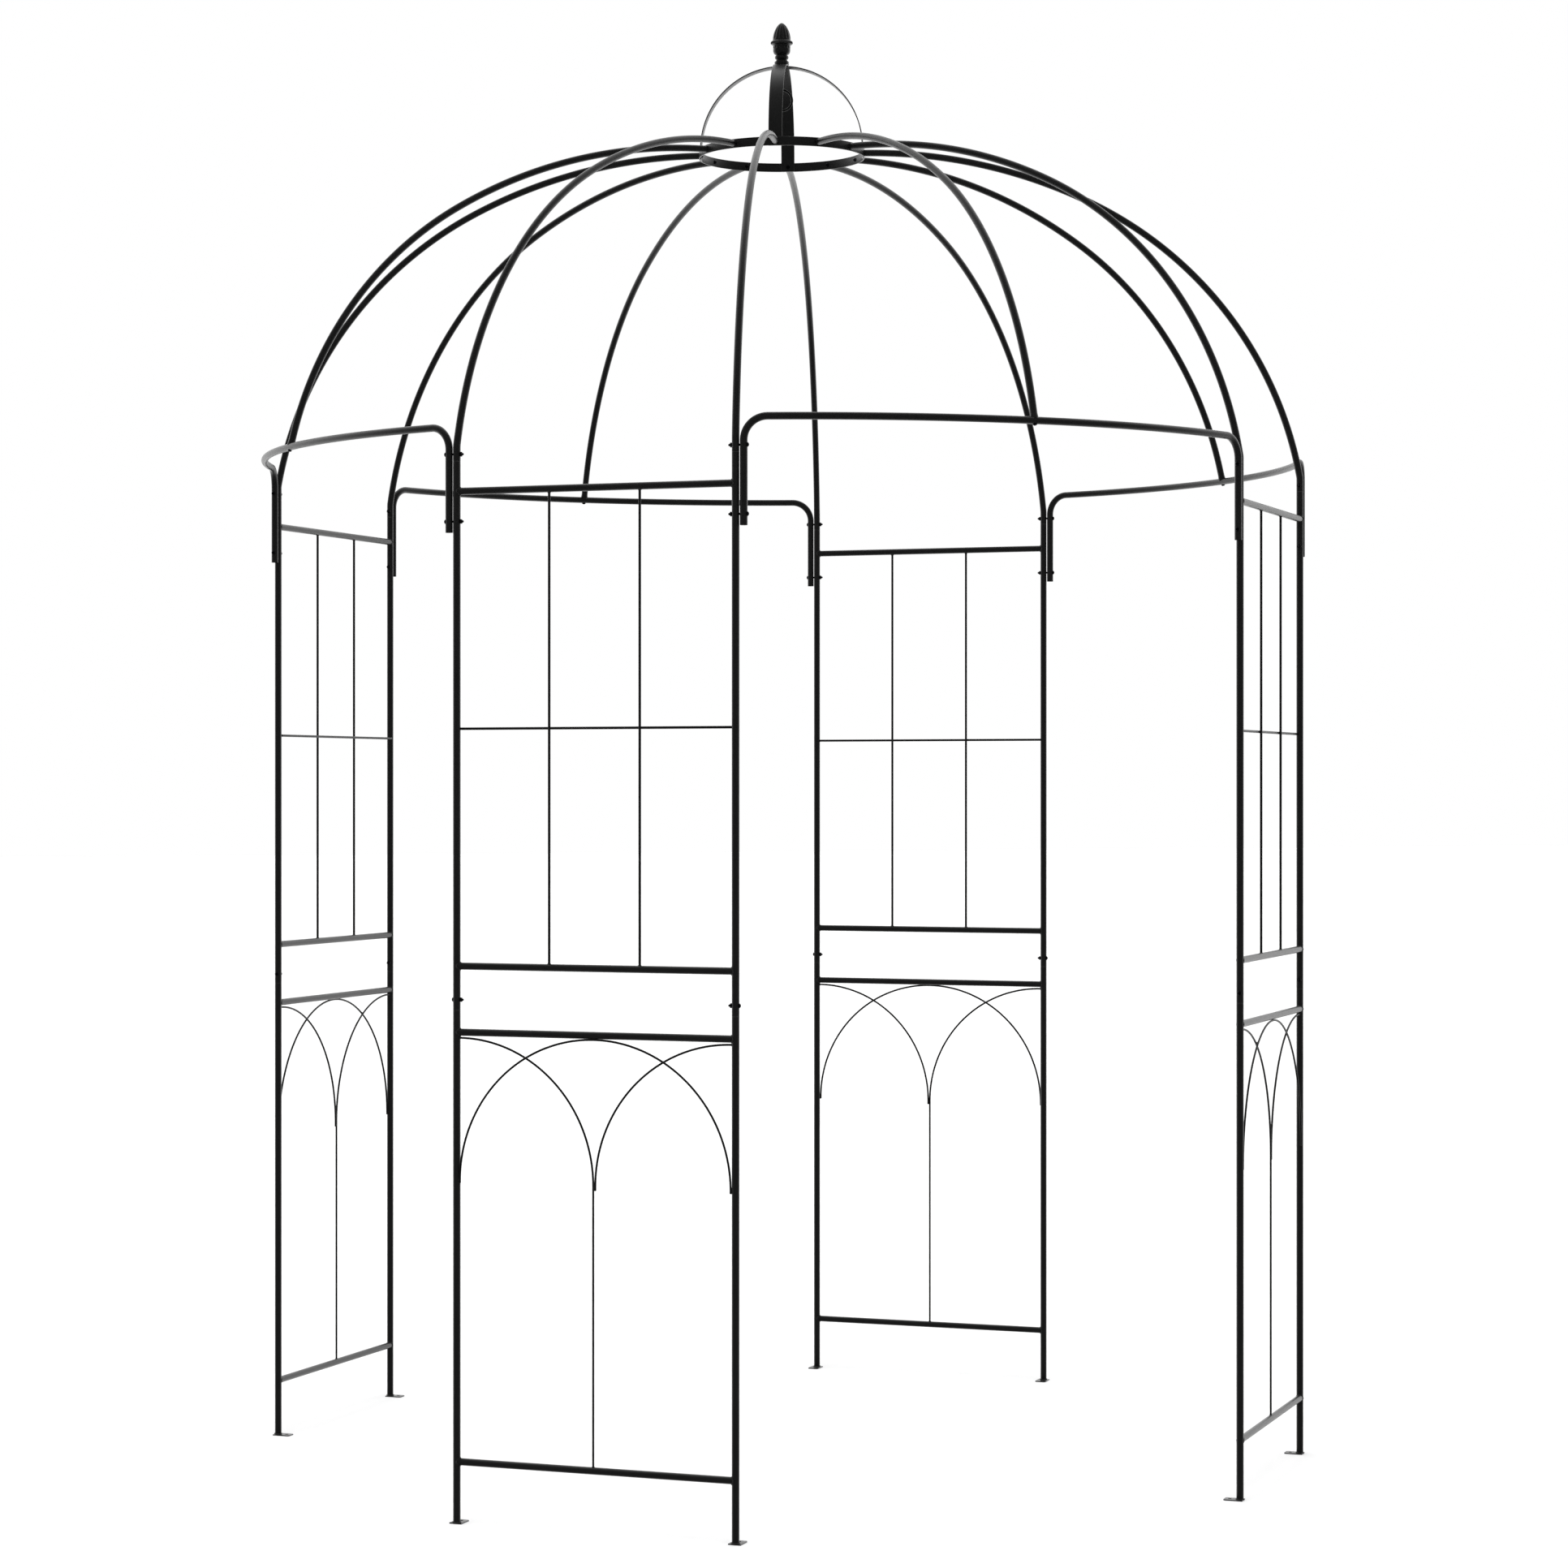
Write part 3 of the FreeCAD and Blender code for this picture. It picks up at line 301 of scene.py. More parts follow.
def new_tree(name, sockets):
    """A geometry node group with the given named inputs, and its input and output nodes."""
    tree = bpy.data.node_groups.new(name, "GeometryNodeTree")
    tree.interface.new_socket("Geometry", in_out="INPUT", socket_type="NodeSocketGeometry")
    for label, kind in sockets.items():
        tree.interface.new_socket(label, in_out="INPUT", socket_type=kind)
    tree.interface.new_socket("Geometry", in_out="OUTPUT", socket_type="NodeSocketGeometry")
    return tree, add_node(tree, "NodeGroupInput").outputs


def point_value(tree, name, kind):
    """The named attribute of each point."""
    return add_node(tree, "GeometryNodeInputNamedAttribute", {"Name": name}, data_type=kind)


def end_tree(tree, geometry, material):
    """Every tree ends the same way: real mesh, smooth faces, one material."""
    real = add_node(tree, "GeometryNodeRealizeInstances", {"Geometry": geometry})
    smooth = add_node(tree, "GeometryNodeSetShadeSmooth", {"Geometry": real.outputs[0]})
    painted = add_node(tree, "GeometryNodeSetMaterial", {
        "Geometry": smooth.outputs[0], "Material": material,
    })
    add_node(tree, "NodeGroupOutput", {"Geometry": painted.outputs[0]})


def drawn_tube_tree():
    """A round bar or tube drawn along edges; a point's radius attribute is its radius in metres."""
    tree, given = new_tree("drawn_tube", {
        "Sides": "NodeSocketInt", "Caps": "NodeSocketBool", "Finish": "NodeSocketMaterial",
    })
    route = add_node(tree, "GeometryNodeMeshToCurve", {"Mesh": given["Geometry"]})
    section = add_node(tree, "GeometryNodeCurvePrimitiveCircle", {
        "Resolution": given["Sides"], "Radius": 1.0,
    })
    radius = point_value(tree, "radius", "FLOAT")
    tube = add_node(tree, "GeometryNodeCurveToMesh", {
        "Curve": route.outputs[0],
        "Profile Curve": section.outputs[0],
        "Scale": radius.outputs["Attribute"],
        "Fill Caps": given["Caps"],
    })
    end_tree(tree, tube.outputs[0], given["Finish"])
    return tree


def rolled_strip_tree():
    """Flat strip with rolled edges, bent edge-on along a route in the XY plane."""
    tree, given = new_tree("rolled_strip", {
        "Width": "NodeSocketFloat", "Thickness": "NodeSocketFloat", "Edge": "NodeSocketFloat",
        "Finish": "NodeSocketMaterial",
    })
    route = add_node(tree, "GeometryNodeMeshToCurve", {"Mesh": given["Geometry"]})
    level = add_node(tree, "GeometryNodeSetCurveNormal", {"Curve": route.outputs[0]}, mode="Z_UP")
    section = add_node(tree, "GeometryNodeCurvePrimitiveQuadrilateral", {
        "Width": given["Thickness"], "Height": given["Width"],
    })
    rolled = add_node(tree, "GeometryNodeFilletCurve", {
        "Curve": section.outputs[0], "Radius": given["Edge"], "Count": 4, "Limit Radius": True,
    }, mode="POLY")
    strip = add_node(tree, "GeometryNodeCurveToMesh", {
        "Curve": level.outputs[0], "Profile Curve": rolled.outputs[0], "Fill Caps": True,
    })
    end_tree(tree, strip.outputs[0], given["Finish"])
    return tree


BEAD_LUMP_SIZE = 3


def weld_bead_tree():
    """A weld bead laid along edges: a round run with overlapping ripples and an uneven skin."""
    tree, given = new_tree("weld_bead", {
        "Step": "NodeSocketFloat", "Ripple Pitch": "NodeSocketFloat", "Ripple": "NodeSocketFloat",
        "Unevenness": "NodeSocketFloat", "Finish": "NodeSocketMaterial",
    })
    route = add_node(tree, "GeometryNodeMeshToCurve", {"Mesh": given["Geometry"]})
    fine = add_node(tree, "GeometryNodeResampleCurve", {
        "Curve": route.outputs[0], "Length": given["Step"],
    }, mode="LENGTH")
    along = add_node(tree, "GeometryNodeSplineParameter")
    marked = add_node(tree, "GeometryNodeStoreNamedAttribute", {
        "Geometry": fine.outputs[0], "Name": "laid_length", "Value": along.outputs["Length"],
    }, data_type="FLOAT", domain="POINT")
    section = add_node(tree, "GeometryNodeCurvePrimitiveCircle", {"Resolution": 10, "Radius": 1.0})
    radius = point_value(tree, "radius", "FLOAT")
    bead = add_node(tree, "GeometryNodeCurveToMesh", {
        "Curve": marked.outputs[0],
        "Profile Curve": section.outputs[0],
        "Scale": radius.outputs["Attribute"],
        "Fill Caps": True,
    })
    laid = point_value(tree, "laid_length", "FLOAT")
    turns = calculated(tree, "DIVIDE", laid.outputs["Attribute"], given["Ripple Pitch"])
    wave = calculated(tree, "SINE", calculated(tree, "MULTIPLY", turns, math.tau))
    ripple = calculated(tree, "MULTIPLY", wave, given["Ripple"])
    lumps = add_node(tree, "ShaderNodeTexNoise", {
        "Scale": per_metre(BEAD_LUMP_SIZE), "Detail": 1.0,
    })
    centred = calculated(tree, "SUBTRACT", lumps.outputs["Fac"], 0.5)
    uneven = calculated(tree, "MULTIPLY_ADD", centred, given["Unevenness"], ripple)
    outwards = add_node(tree, "GeometryNodeInputNormal")
    shift = add_node(tree, "ShaderNodeVectorMath", {
        0: outwards.outputs[0], "Scale": uneven,
    }, operation="SCALE")
    skin = add_node(tree, "GeometryNodeSetPosition", {
        "Geometry": bead.outputs[0], "Offset": shift.outputs[0],
    })
    end_tree(tree, skin.outputs[0], given["Finish"])
    return tree


def driven_fasteners_tree():
    """A fastener at every point, its Z along the point's drive attribute, at a random turn."""
    tree, given = new_tree("driven_fasteners", {
        "Fastener": "NodeSocketObject", "Seed": "NodeSocketInt", "Finish": "NodeSocketMaterial",
    })
    drive = point_value(tree, "drive", "FLOAT_VECTOR")
    aimed = add_node(tree, "FunctionNodeAlignRotationToVector", {
        "Vector": drive.outputs["Attribute"],
    }, axis="Z")
    stop = add_node(tree, "FunctionNodeRandomValue", {
        2: 0.0, 3: math.tau, "Seed": given["Seed"],
    }, data_type="FLOAT")
    spin = add_node(tree, "FunctionNodeAxisAngleToRotation", {
        "Axis": (0.0, 0.0, 1.0), "Angle": stop.outputs[1],
    })
    turned = add_node(tree, "FunctionNodeRotateRotation", {
        "Rotation": aimed.outputs[0], "Rotate By": spin.outputs[0],
    }, rotation_space="LOCAL")
    pattern = add_node(tree, "GeometryNodeObjectInfo", {
        "Object": given["Fastener"], "As Instance": True,
    })
    copies = add_node(tree, "GeometryNodeInstanceOnPoints", {
        "Points": given["Geometry"],
        "Instance": pattern.outputs["Geometry"],
        "Rotation": turned.outputs[0],
    })
    end_tree(tree, copies.outputs[0], given["Finish"])
    return tree


drawn_tube = drawn_tube_tree()
rolled_strip = rolled_strip_tree()
weld_bead = weld_bead_tree()
driven_fasteners = driven_fasteners_tree()


# ---------- making pieces


SHARP_ANGLE = math.radians(40)
# How tightly a surface turns, in radians per mm, where the lighter edge mark (partly wear, partly a
# painted highlight) begins, and where it is full.
WEAR_AND_HIGHLIGHT_TIGHTNESS = (0.7, 1.8)


def smoothstep(low_edge, high_edge, value):
    share = min(max((value - low_edge) / (high_edge - low_edge), 0), 1)
    return share * share * (3 - 2 * share)


def shade(mesh):
    """Smooth faces, sharp turns kept sharp, and a mask of edge wear and painted highlight up to 1
    where a surface turns tightly.
    """
    shaper = bmesh.new()
    shaper.from_mesh(mesh)
    wear_and_highlight = shaper.verts.layers.float.new("edge_rub")
    areas = {}
    for face in shaper.faces:
        face.smooth = True
        areas[face] = face.calc_area()
    for edge in shaper.edges:
        if len(edge.link_faces) != 2:
            continue
        angle = edge.calc_face_angle(0)
        edge.smooth = angle < SHARP_ANGLE
        spread = sum(areas[face] for face in edge.link_faces) / 2
        tightness = angle * edge.calc_length() * MM / spread if spread else 0
        share = smoothstep(*WEAR_AND_HIGHLIGHT_TIGHTNESS, tightness)
        for vertex in edge.verts:
            vertex[wear_and_highlight] = max(vertex[wear_and_highlight], share)
    shaper.to_mesh(mesh)
    shaper.free()


def add_piece(name, mesh, replaced=()):
    """A finished piece at the origin, on the frame's one body; the CAD parts it replaces are
    hidden.
    """
    shade(mesh)
    piece = bpy.data.objects.new(name, mesh)
    bpy.context.scene.collection.objects.link(piece)
    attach(piece, "root")
    if replaced:
        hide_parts(*replaced)


def modified(mesh, kind, set_up):
    """The plain mesh that a modifier makes from a mesh; set_up fills in the modifier."""
    source = bpy.data.objects.new("source", mesh)
    bpy.context.scene.collection.objects.link(source)
    modifier = source.modifiers.new("shape", kind)
    set_up(modifier)
    finished = source.evaluated_get(bpy.context.evaluated_depsgraph_get())
    made = bpy.data.meshes.new_from_object(finished)
    source.modifiers.remove(modifier)
    bpy.data.objects.remove(source)
    return made


def grow(mesh, tree, **values):
    """The plain mesh that a geometry node tree makes from a mesh, with its inputs set by name."""
    def set_up(modifier):
        modifier.node_group = tree
        for item in tree.interface.items_tree:
            if item.in_out == "INPUT" and item.name in values:
                modifier[item.identifier] = values[item.name]

    return modified(mesh, "NODES", set_up)


def route_mesh(routes):
    """An edge mesh of routes, each a list of (point, radius) in mm and a flag for a closed loop."""
    points, edges, radii = [], [], []
    for stops, closed in routes:
        first = len(points)
        for point, radius in stops:
            points.append(Vector(point) * MM)
            radii.append(radius * MM)
        edges += [(i, i + 1) for i in range(first, len(points) - 1)]
        if closed:
            edges.append((len(points) - 1, first))
    mesh = bpy.data.meshes.new("routes")
    mesh.from_pydata(points, edges, [])
    mesh.attributes.new("radius", "FLOAT", "POINT").data.foreach_set("value", radii)
    return mesh


def evenly(start, end, count):
    return [start + (end - start) * i / count for i in range(count + 1)]


def with_lips(points, radius, lip, ends=(True, True)):
    """The route's points with their radius, and a rounded edge of radius lip at the chosen ends."""
    stops = [(Vector(p), radius) for p in points]
    for at_end in (False, True):
        if not ends[at_end]:
            continue
        tip, inner = (stops[-1][0], stops[-2][0]) if at_end else (stops[0][0], stops[1][0])
        inwards = (inner - tip).normalized()
        rounding = []
        for angle in evenly(0, math.pi / 2, 4):
            back = lip * (1 - math.cos(angle))
            rounding.append((tip + inwards * back, radius - lip * (1 - math.sin(angle))))
        stops = stops[:-1] + rounding[::-1] if at_end else rounding + stops[1:]
    return stops


def tube_piece(name, routes, sides, slot, finish, replaced, caps=True, wall=0):
    """Tubes or wires along routes, as one piece. With a wall they are hollow with open ends."""
    mesh = grow(route_mesh(routes), drawn_tube, Sides=sides, Caps=caps, Finish=finish)
    if wall:
        mesh = hollowed(mesh, wall)
    add_piece(name, mesh, replaced)


def hollowed(mesh, wall):
    """An open tube with its wall, grown inwards, and closed rims."""
    def set_up(modifier):
        modifier.thickness = wall * MM
        modifier.offset = -1

    return modified(mesh, "SOLIDIFY", set_up)


# ---------- posts and rails


SEAM_LIP = 0.5
POST_STEPS = 6
BAR_STEPS = 8
RAIL_END_GAP = 1


def build_posts():
    for number, angle in PANEL_ANGLES.items():
        for side, sign in SIDES.items():
            across = sign * post_half_spacing
            lengths = (("lower", post_foot, post_seam), ("upper", post_seam, post_top))
            for level, foot, top in lengths:
                heights = evenly(foot, top, POST_STEPS)
                line = [turned_about_axis(angle, panel_distance, across, z) for z in heights]
                node = f"panel_{number}_{level}_{side}_post"
                stops = with_lips(line, TUBE / 2, SEAM_LIP)
                tube_piece(f"{node}_tube", [(stops, False)], *TUBE_LOOK, [node])


def build_rails():
    reach = post_half_spacing - RAIL_END_GAP
    spots = evenly(-reach, reach, BAR_STEPS)
    levels = (("lower", (foot_rail, waist_rail)), ("upper", (grid_rail, head_rail)))
    for number, angle in PANEL_ANGLES.items():
        for level, heights in levels:
            routes = []
            for z in heights:
                line = [turned_about_axis(angle, panel_distance, y, z) for y in spots]
                routes.append(([(point, RAIL / 2) for point in line], False))
            node = f"panel_{number}_{level}_rails"
            tube_piece(f"{node}_tubes", routes, *TUBE_LOOK, [node])


# ---------- panel wires


arch_offset = ARCH_WIRE + WELD_GAP
arch_seat = ARCH_WIRE / 2 + WELD_GAP
arch_radius = post_half_spacing - math.sqrt((TUBE / 2 + arch_seat) ** 2 - arch_offset ** 2)
arch_top = waist_rail - math.sqrt((RAIL / 2 + arch_seat) ** 2 - arch_offset ** 2)
arch_spring = arch_top - arch_radius
half_arch_foot = arch_offset / 2
half_arch_radius = post_half_spacing - TUBE / 2 - HALF_ARCH_LEAD - half_arch_foot
half_arch_top = arch_top - HALF_ARCH_DROP
half_arch_spring = half_arch_top - half_arch_radius
grid_third = (post_half_spacing - TUBE / 2) / 3
level_offset = GRID_WIRE + WELD_GAP
level_reach = post_half_spacing - math.sqrt((TUBE / 2) ** 2 - level_offset ** 2)
WIRE_LIP = 1.2
QUARTER_STEPS = 48


def arc(centre, radius, start, end, count):
    """Points of an arc in a plane, from start to end degrees."""
    turns = [math.radians(a) for a in evenly(start, end, count)]
    return [(centre[0] + radius * math.cos(a), centre[1] + radius * math.sin(a)) for a in turns]


def wire_route(angle, layer, flat_points, diameter, ends=(True, True)):
    """A wire bent in a plane parallel to a panel's, given by its points along the panel and up."""
    line = [turned_about_axis(angle, panel_distance + layer, y, z) for y, z in flat_points]
    return with_lips(line, diameter / 2, WIRE_LIP, ends), False


def build_arch_wires():
    round_arch = (
        [(-arch_radius, arch_spring - ARCH_TAIL)]
        + arc((0, arch_spring), arch_radius, 180, 0, 2 * QUARTER_STEPS)
        + [(arch_radius, arch_spring - ARCH_TAIL)]
    )
    for number, angle in PANEL_ANGLES.items():
        routes = [wire_route(angle, arch_offset, round_arch, ARCH_WIRE)]
        for sign, foot in ((-1, foot_rail + RAIL / 4), (1, half_arch_spring - 2 * ARCH_TAIL)):
            centre = (sign * (half_arch_foot + half_arch_radius), half_arch_spring)
            half_arch = arc(centre, half_arch_radius, 90 + 90 * sign, 90, QUARTER_STEPS)
            end = (sign * (post_half_spacing - TUBE / 4), half_arch_top)
            line = [(sign * half_arch_foot, foot)] + half_arch + [end]
            routes.append(wire_route(angle, 0, line, ARCH_WIRE))
        node = f"panel_{number}_arch_wires"
        tube_piece(f"{node}_drawn", routes, *WIRE_LOOK, [node])


def build_grid_wires():
    for number, angle in PANEL_ANGLES.items():
        routes = []
        for sign in SIDES.values():
            line = [(sign * grid_third, z) for z in evenly(grid_rail, head_rail, BAR_STEPS)]
            routes.append(wire_route(angle, 0, line, GRID_WIRE))
        level = [(y, grid_middle) for y in evenly(-level_reach, level_reach, BAR_STEPS)]
        routes.append(wire_route(angle, -level_offset, level, GRID_WIRE))
        node = f"panel_{number}_grid_wires"
        tube_piece(f"{node}_drawn", routes, *WIRE_LOOK, [node])


# ---------- weld beads


RAIL_BEAD = 1.3
WIRE_BEAD = 0.9
TAB_BEAD = 1.2
SPOT_BEAD = 1.5
FINE_SPOT_BEAD = 1.2
TAIL_BEAD = 1.1
SADDLE_STEPS = 40
GRID_CROSSING_HALF = 2.6
ARCH_CROSSING_HALF = 1.8
ARCH_FOOT_RUN = 7
ARCH_TOP_HALF = 7
TAIL_RUN = 14
TAB_BEAD_LIFT = 0.4
TAB_BEAD_GAP = 0.3
BEAD_LOOK = {
    "Step": 0.45 * MM, "Ripple Pitch": 1.4 * MM, "Ripple": 0.12 * MM, "Unevenness": 0.9 * MM,
    "Finish": weld_powder_coat,
}


def saddle_bead(centre, along_main, branch, main_radius, branch_radius, bead):
    """A bead round the joint where a branch bar, running out of centre, meets a main bar."""
    sideways = branch.cross(along_main)
    stops = []
    for turn in evenly(0, math.tau, SADDLE_STEPS)[:-1]:
        across = branch_radius * math.cos(turn)
        reach = math.sqrt(max(main_radius ** 2 - across ** 2, 0))
        rim = sideways * across + along_main * branch_radius * math.sin(turn)
        stops.append((centre + branch * reach + rim, bead))
    return stops, True


def spot_bead(start, end, bead):
    """A short run of weld between two points, thinner at its ends."""
    stops = []
    for share in evenly(0, 1, 8):
        fullness = math.sin(math.pi * (0.08 + 0.84 * share)) ** 0.5
        stops.append((start.lerp(end, share), bead * fullness))
    return stops, False


def panel_beads(angle):
    up = Vector((0, 0, 1))
    along = turned_about_axis(angle, 0, 1, 0)
    seat_layer = arch_offset * TUBE / (TUBE + ARCH_WIRE)
    beads = []

    def place(layer, y, z):
        return turned_about_axis(angle, panel_distance + layer, y, z)

    def saddle(centre, along_main, branch, bar, branch_bar, bead):
        beads.append(saddle_bead(centre, along_main, branch, bar / 2, branch_bar / 2, bead))

    for sign in SIDES.values():
        inwards = -sign * along
        post = sign * post_half_spacing
        for z in (foot_rail, waist_rail, grid_rail, head_rail):
            saddle(place(0, post, z), up, inwards, TUBE, RAIL, RAIL_BEAD)
        beads.append(spot_bead(
            place(-level_offset, sign * level_reach, grid_middle - GRID_WIRE / 2),
            place(-level_offset, sign * level_reach, grid_middle + GRID_WIRE / 2),
            SPOT_BEAD,
        ))
        saddle(place(0, post, half_arch_top), up, inwards, TUBE, ARCH_WIRE, WIRE_BEAD)
        across = sign * grid_third
        for z, out in ((grid_rail, up), (head_rail, -up)):
            saddle(place(0, across, z), along, out, RAIL, GRID_WIRE, WIRE_BEAD)
        crossing = place(-level_offset / 2, across, grid_middle)
        half_run = up * GRID_CROSSING_HALF
        beads.append(spot_bead(crossing - half_run, crossing + half_run, SPOT_BEAD))
        foot = sign * (arch_radius + ARCH_WIRE / 2)
        beads.append(spot_bead(
            place(seat_layer, foot, arch_spring - ARCH_TAIL),
            place(seat_layer, foot, arch_spring + ARCH_FOOT_RUN),
            SPOT_BEAD,
        ))
        crossing_y = sign * (half_arch_radius + half_arch_foot) / 2
        crossing_z = arch_spring + math.sqrt(arch_radius ** 2 - crossing_y ** 2)
        beads.append(spot_bead(
            place(arch_offset / 2, crossing_y - ARCH_CROSSING_HALF, crossing_z),
            place(arch_offset / 2, crossing_y + ARCH_CROSSING_HALF, crossing_z),
            FINE_SPOT_BEAD,
        ))
    saddle(place(0, -half_arch_foot, foot_rail), along, up, RAIL, ARCH_WIRE, WIRE_BEAD)
    top = arch_top + ARCH_WIRE / 2
    beads.append(spot_bead(
        place(seat_layer, -ARCH_TOP_HALF, top),
        place(seat_layer, ARCH_TOP_HALF, top),
        FINE_SPOT_BEAD,
    ))
    tail = half_arch_spring - 2 * ARCH_TAIL
    beads.append(spot_bead(
        place(TAIL_BEAD, 0, tail), place(TAIL_BEAD, 0, tail + TAIL_RUN), TAIL_BEAD
    ))
    return beads


def tab_beads(angle):
    height = post_foot + TAB_BEAD_LIFT
    circle = arc((0, 0), TUBE / 2 + TAB_BEAD_GAP, 0, 360, SADDLE_STEPS)[:-1]
    beads = []
    for sign in SIDES.values():
        post = sign * post_half_spacing
        ring = [turned_about_axis(angle, panel_distance + x, post + y, height) for x, y in circle]
        beads.append(([(point, TAB_BEAD) for point in ring], True))
    return beads


def build_weld_beads():
    for number, angle in PANEL_ANGLES.items():
        routes = panel_beads(angle) + tab_beads(angle)
        mesh = grow(route_mesh(routes), weld_bead, **BEAD_LOOK)
        add_piece(f"panel_{number}_weld_beads", mesh)


# ---------- ribs and tie bars


FOOT_BEND_STEPS = 8
LOWER_ARC_STEPS = 60
CROWN_ARC_STEPS = 40
# The foot of a rib on a tie bar is flared: heights along the rib, and its width there.
TIE_RIB_LIFTS = (TIE_RIB_OVERLAP, 7, 10, 13)
TIE_RIB_FLARES = (1.1, 1.1, 1.03, 1.0)
CORNER_STEPS = 20
LEG_STEPS = 5
BOW_STEPS = 50


def bend(x, z, radius, start, end, count):
    """An arc of a rib, going up: its lean from the vertical grows from start to end."""
    points = []
    for lean in evenly(start, end, count):
        inwards = radius * (math.cos(start) - math.cos(lean))
        upwards = radius * (math.sin(lean) - math.sin(start))
        points.append((x - inwards, z + upwards))
    return points


def dome_arcs(x, z, lean, joint):
    """The two arcs of a rib from (x, z), at its lean, to the crown ring, where it lies level."""
    run, rise = x - ring_radius, crown_height - z
    lower_x = math.cos(lean) - math.cos(joint)
    lower_z = math.sin(joint) - math.sin(lean)
    crown_x = math.cos(joint)
    crown_z = 1 - math.sin(joint)
    closing = lower_x * crown_z - crown_x * lower_z
    lower_radius = (run * crown_z - rise * crown_x) / closing
    crown_radius = (rise * lower_x - run * lower_z) / closing
    lower = bend(x, z, lower_radius, lean, joint, LOWER_ARC_STEPS)
    return lower + bend(*lower[-1], crown_radius, joint, math.pi / 2, CROWN_ARC_STEPS)[1:]


def build_ribs():
    bend_height = spigot_top + RIB_FOOT_MARGIN
    foot_bend = bend(post_radius, bend_height, RIB_BEND, 0, POST_RIB_LEAN, FOOT_BEND_STEPS)
    dome = dome_arcs(*foot_bend[-1], POST_RIB_LEAN, POST_RIB_JOINT)
    post_rib = [(post_radius, post_top)] + foot_bend + dome[1:]
    for number, panel_angle in PANEL_ANGLES.items():
        for side, sign in SIDES.items():
            angle = panel_angle + sign * post_half_angle
            line = [turned_about_axis(angle, x, 0, z) for x, z in post_rib]
            node = f"panel_{number}_{side}_rib"
            stops = with_lips(line, TUBE / 2, SEAM_LIP)
            tube_piece(f"{node}_tube", [(stops, False)], *TUBE_LOOK, [node])
    lean_x, lean_z = math.sin(TIE_RIB_LEAN), math.cos(TIE_RIB_LEAN)
    foot = [(tie_reach - lift * lean_x, tie_height + lift * lean_z) for lift in TIE_RIB_LIFTS]
    start = (tie_reach - TIE_RIB_BASE * lean_x, tie_height + TIE_RIB_BASE * lean_z)
    dome = dome_arcs(*start, TIE_RIB_LEAN, TIE_RIB_JOINT)
    for number, angle in DOORWAY_ANGLES.items():
        line = [turned_about_axis(angle, x, 0, z) for x, z in foot + dome]
        stops = with_lips(line, TUBE / 2, SEAM_LIP, (False, True))
        for i, flare in enumerate(TIE_RIB_FLARES):
            stops[i] = (stops[i][0], TUBE / 2 * flare)
        node = f"doorway_{number}_rib"
        tube_piece(f"{node}_tube", [(stops, False)], *TUBE_LOOK, [node])


def build_tie_bars():
    bow = tie_reach - leg_x
    bow_radius = (leg_y ** 2 + bow ** 2 - TIE_CORNER ** 2) / (2 * bow)
    centre = tie_reach - bow_radius

    def on_bow(a):
        return Vector((centre + bow_radius * math.cos(a), bow_radius * math.sin(a), tie_height))

    half_turn = math.atan2(leg_y, leg_x - centre) - math.atan2(TIE_CORNER, bow_radius)
    bow_end = on_bow(half_turn)
    tangent = Vector((-math.sin(half_turn), math.cos(half_turn), 0))
    up = Vector((0, 0, 1))
    corner = [
        bow_end + (tangent * math.cos(turn) - up * (1 - math.sin(turn))) * TIE_CORNER
        for turn in evenly(0, math.pi / 2, CORNER_STEPS)
    ]
    heights = evenly(leg_foot, corner[0].z, LEG_STEPS)[:-1]
    leg = [Vector((corner[0].x, corner[0].y, z)) for z in heights]
    arch = [on_bow(a) for a in evenly(half_turn, 0, BOW_STEPS)[1:]]
    half = leg + corner + arch
    whole = half + [Vector((p.x, -p.y, p.z)) for p in half[-2::-1]]
    for number, angle in DOORWAY_ANGLES.items():
        line = [turned_about_axis(angle, p.x, p.y, p.z) for p in whole]
        stops = [(point, TUBE / 2) for point in line]
        node = f"doorway_{number}_tie_bar"
        routes = [(stops, False)]
        tube_piece(f"{node}_tube", routes, *TUBE_LOOK, [node], caps=False, wall=TUBE_WALL)


# ---------- crown


STRIP_EDGE = 0.45
RING_STEPS = 192
HOOP_STEPS = 120


def strip_mesh(points, closed, width):
    stops = [(Vector((x, y, 0)), 1.0) for x, y in points]
    return grow(route_mesh([(stops, closed)]), rolled_strip, **{
        "Width": width * MM, "Thickness": STRIP_THICKNESS * MM, "Edge": STRIP_EDGE * MM,
        "Finish": strip_powder_coat,
    })


def build_crown_strips():
    circle = arc((0, 0), ring_radius - STRIP_THICKNESS / 2, 0, 360, RING_STEPS)[:-1]
    ring = strip_mesh(circle, True, ring_height)
    ring.transform(Matrix.Translation((0, 0, crown_height * MM)))
    add_piece("crown_ring_band", ring, ["crown_ring"])
    middle = hoop_radius - STRIP_THICKNESS / 2
    for name, angle, top in (
        ("upper_crown_hoop", UPPER_HOOP_ANGLE, hoop_top),
        ("lower_crown_hoop", LOWER_HOOP_ANGLE, lower_hoop_top),
    ):
        spring = top - hoop_radius
        top_arc = arc((0, spring), middle, 0, 180, HOOP_STEPS)
        points = [(middle, ring_foot)] + top_arc + [(-middle, ring_foot)]
        hoop = strip_mesh(points, False, STRIP_WIDTH)
        upright = Matrix.Rotation(math.pi / 2, 4, "X")
        hoop.transform(Matrix.Rotation(math.radians(angle), 4, "Z") @ upright)
        add_piece(f"{name}_strip", hoop, [name])


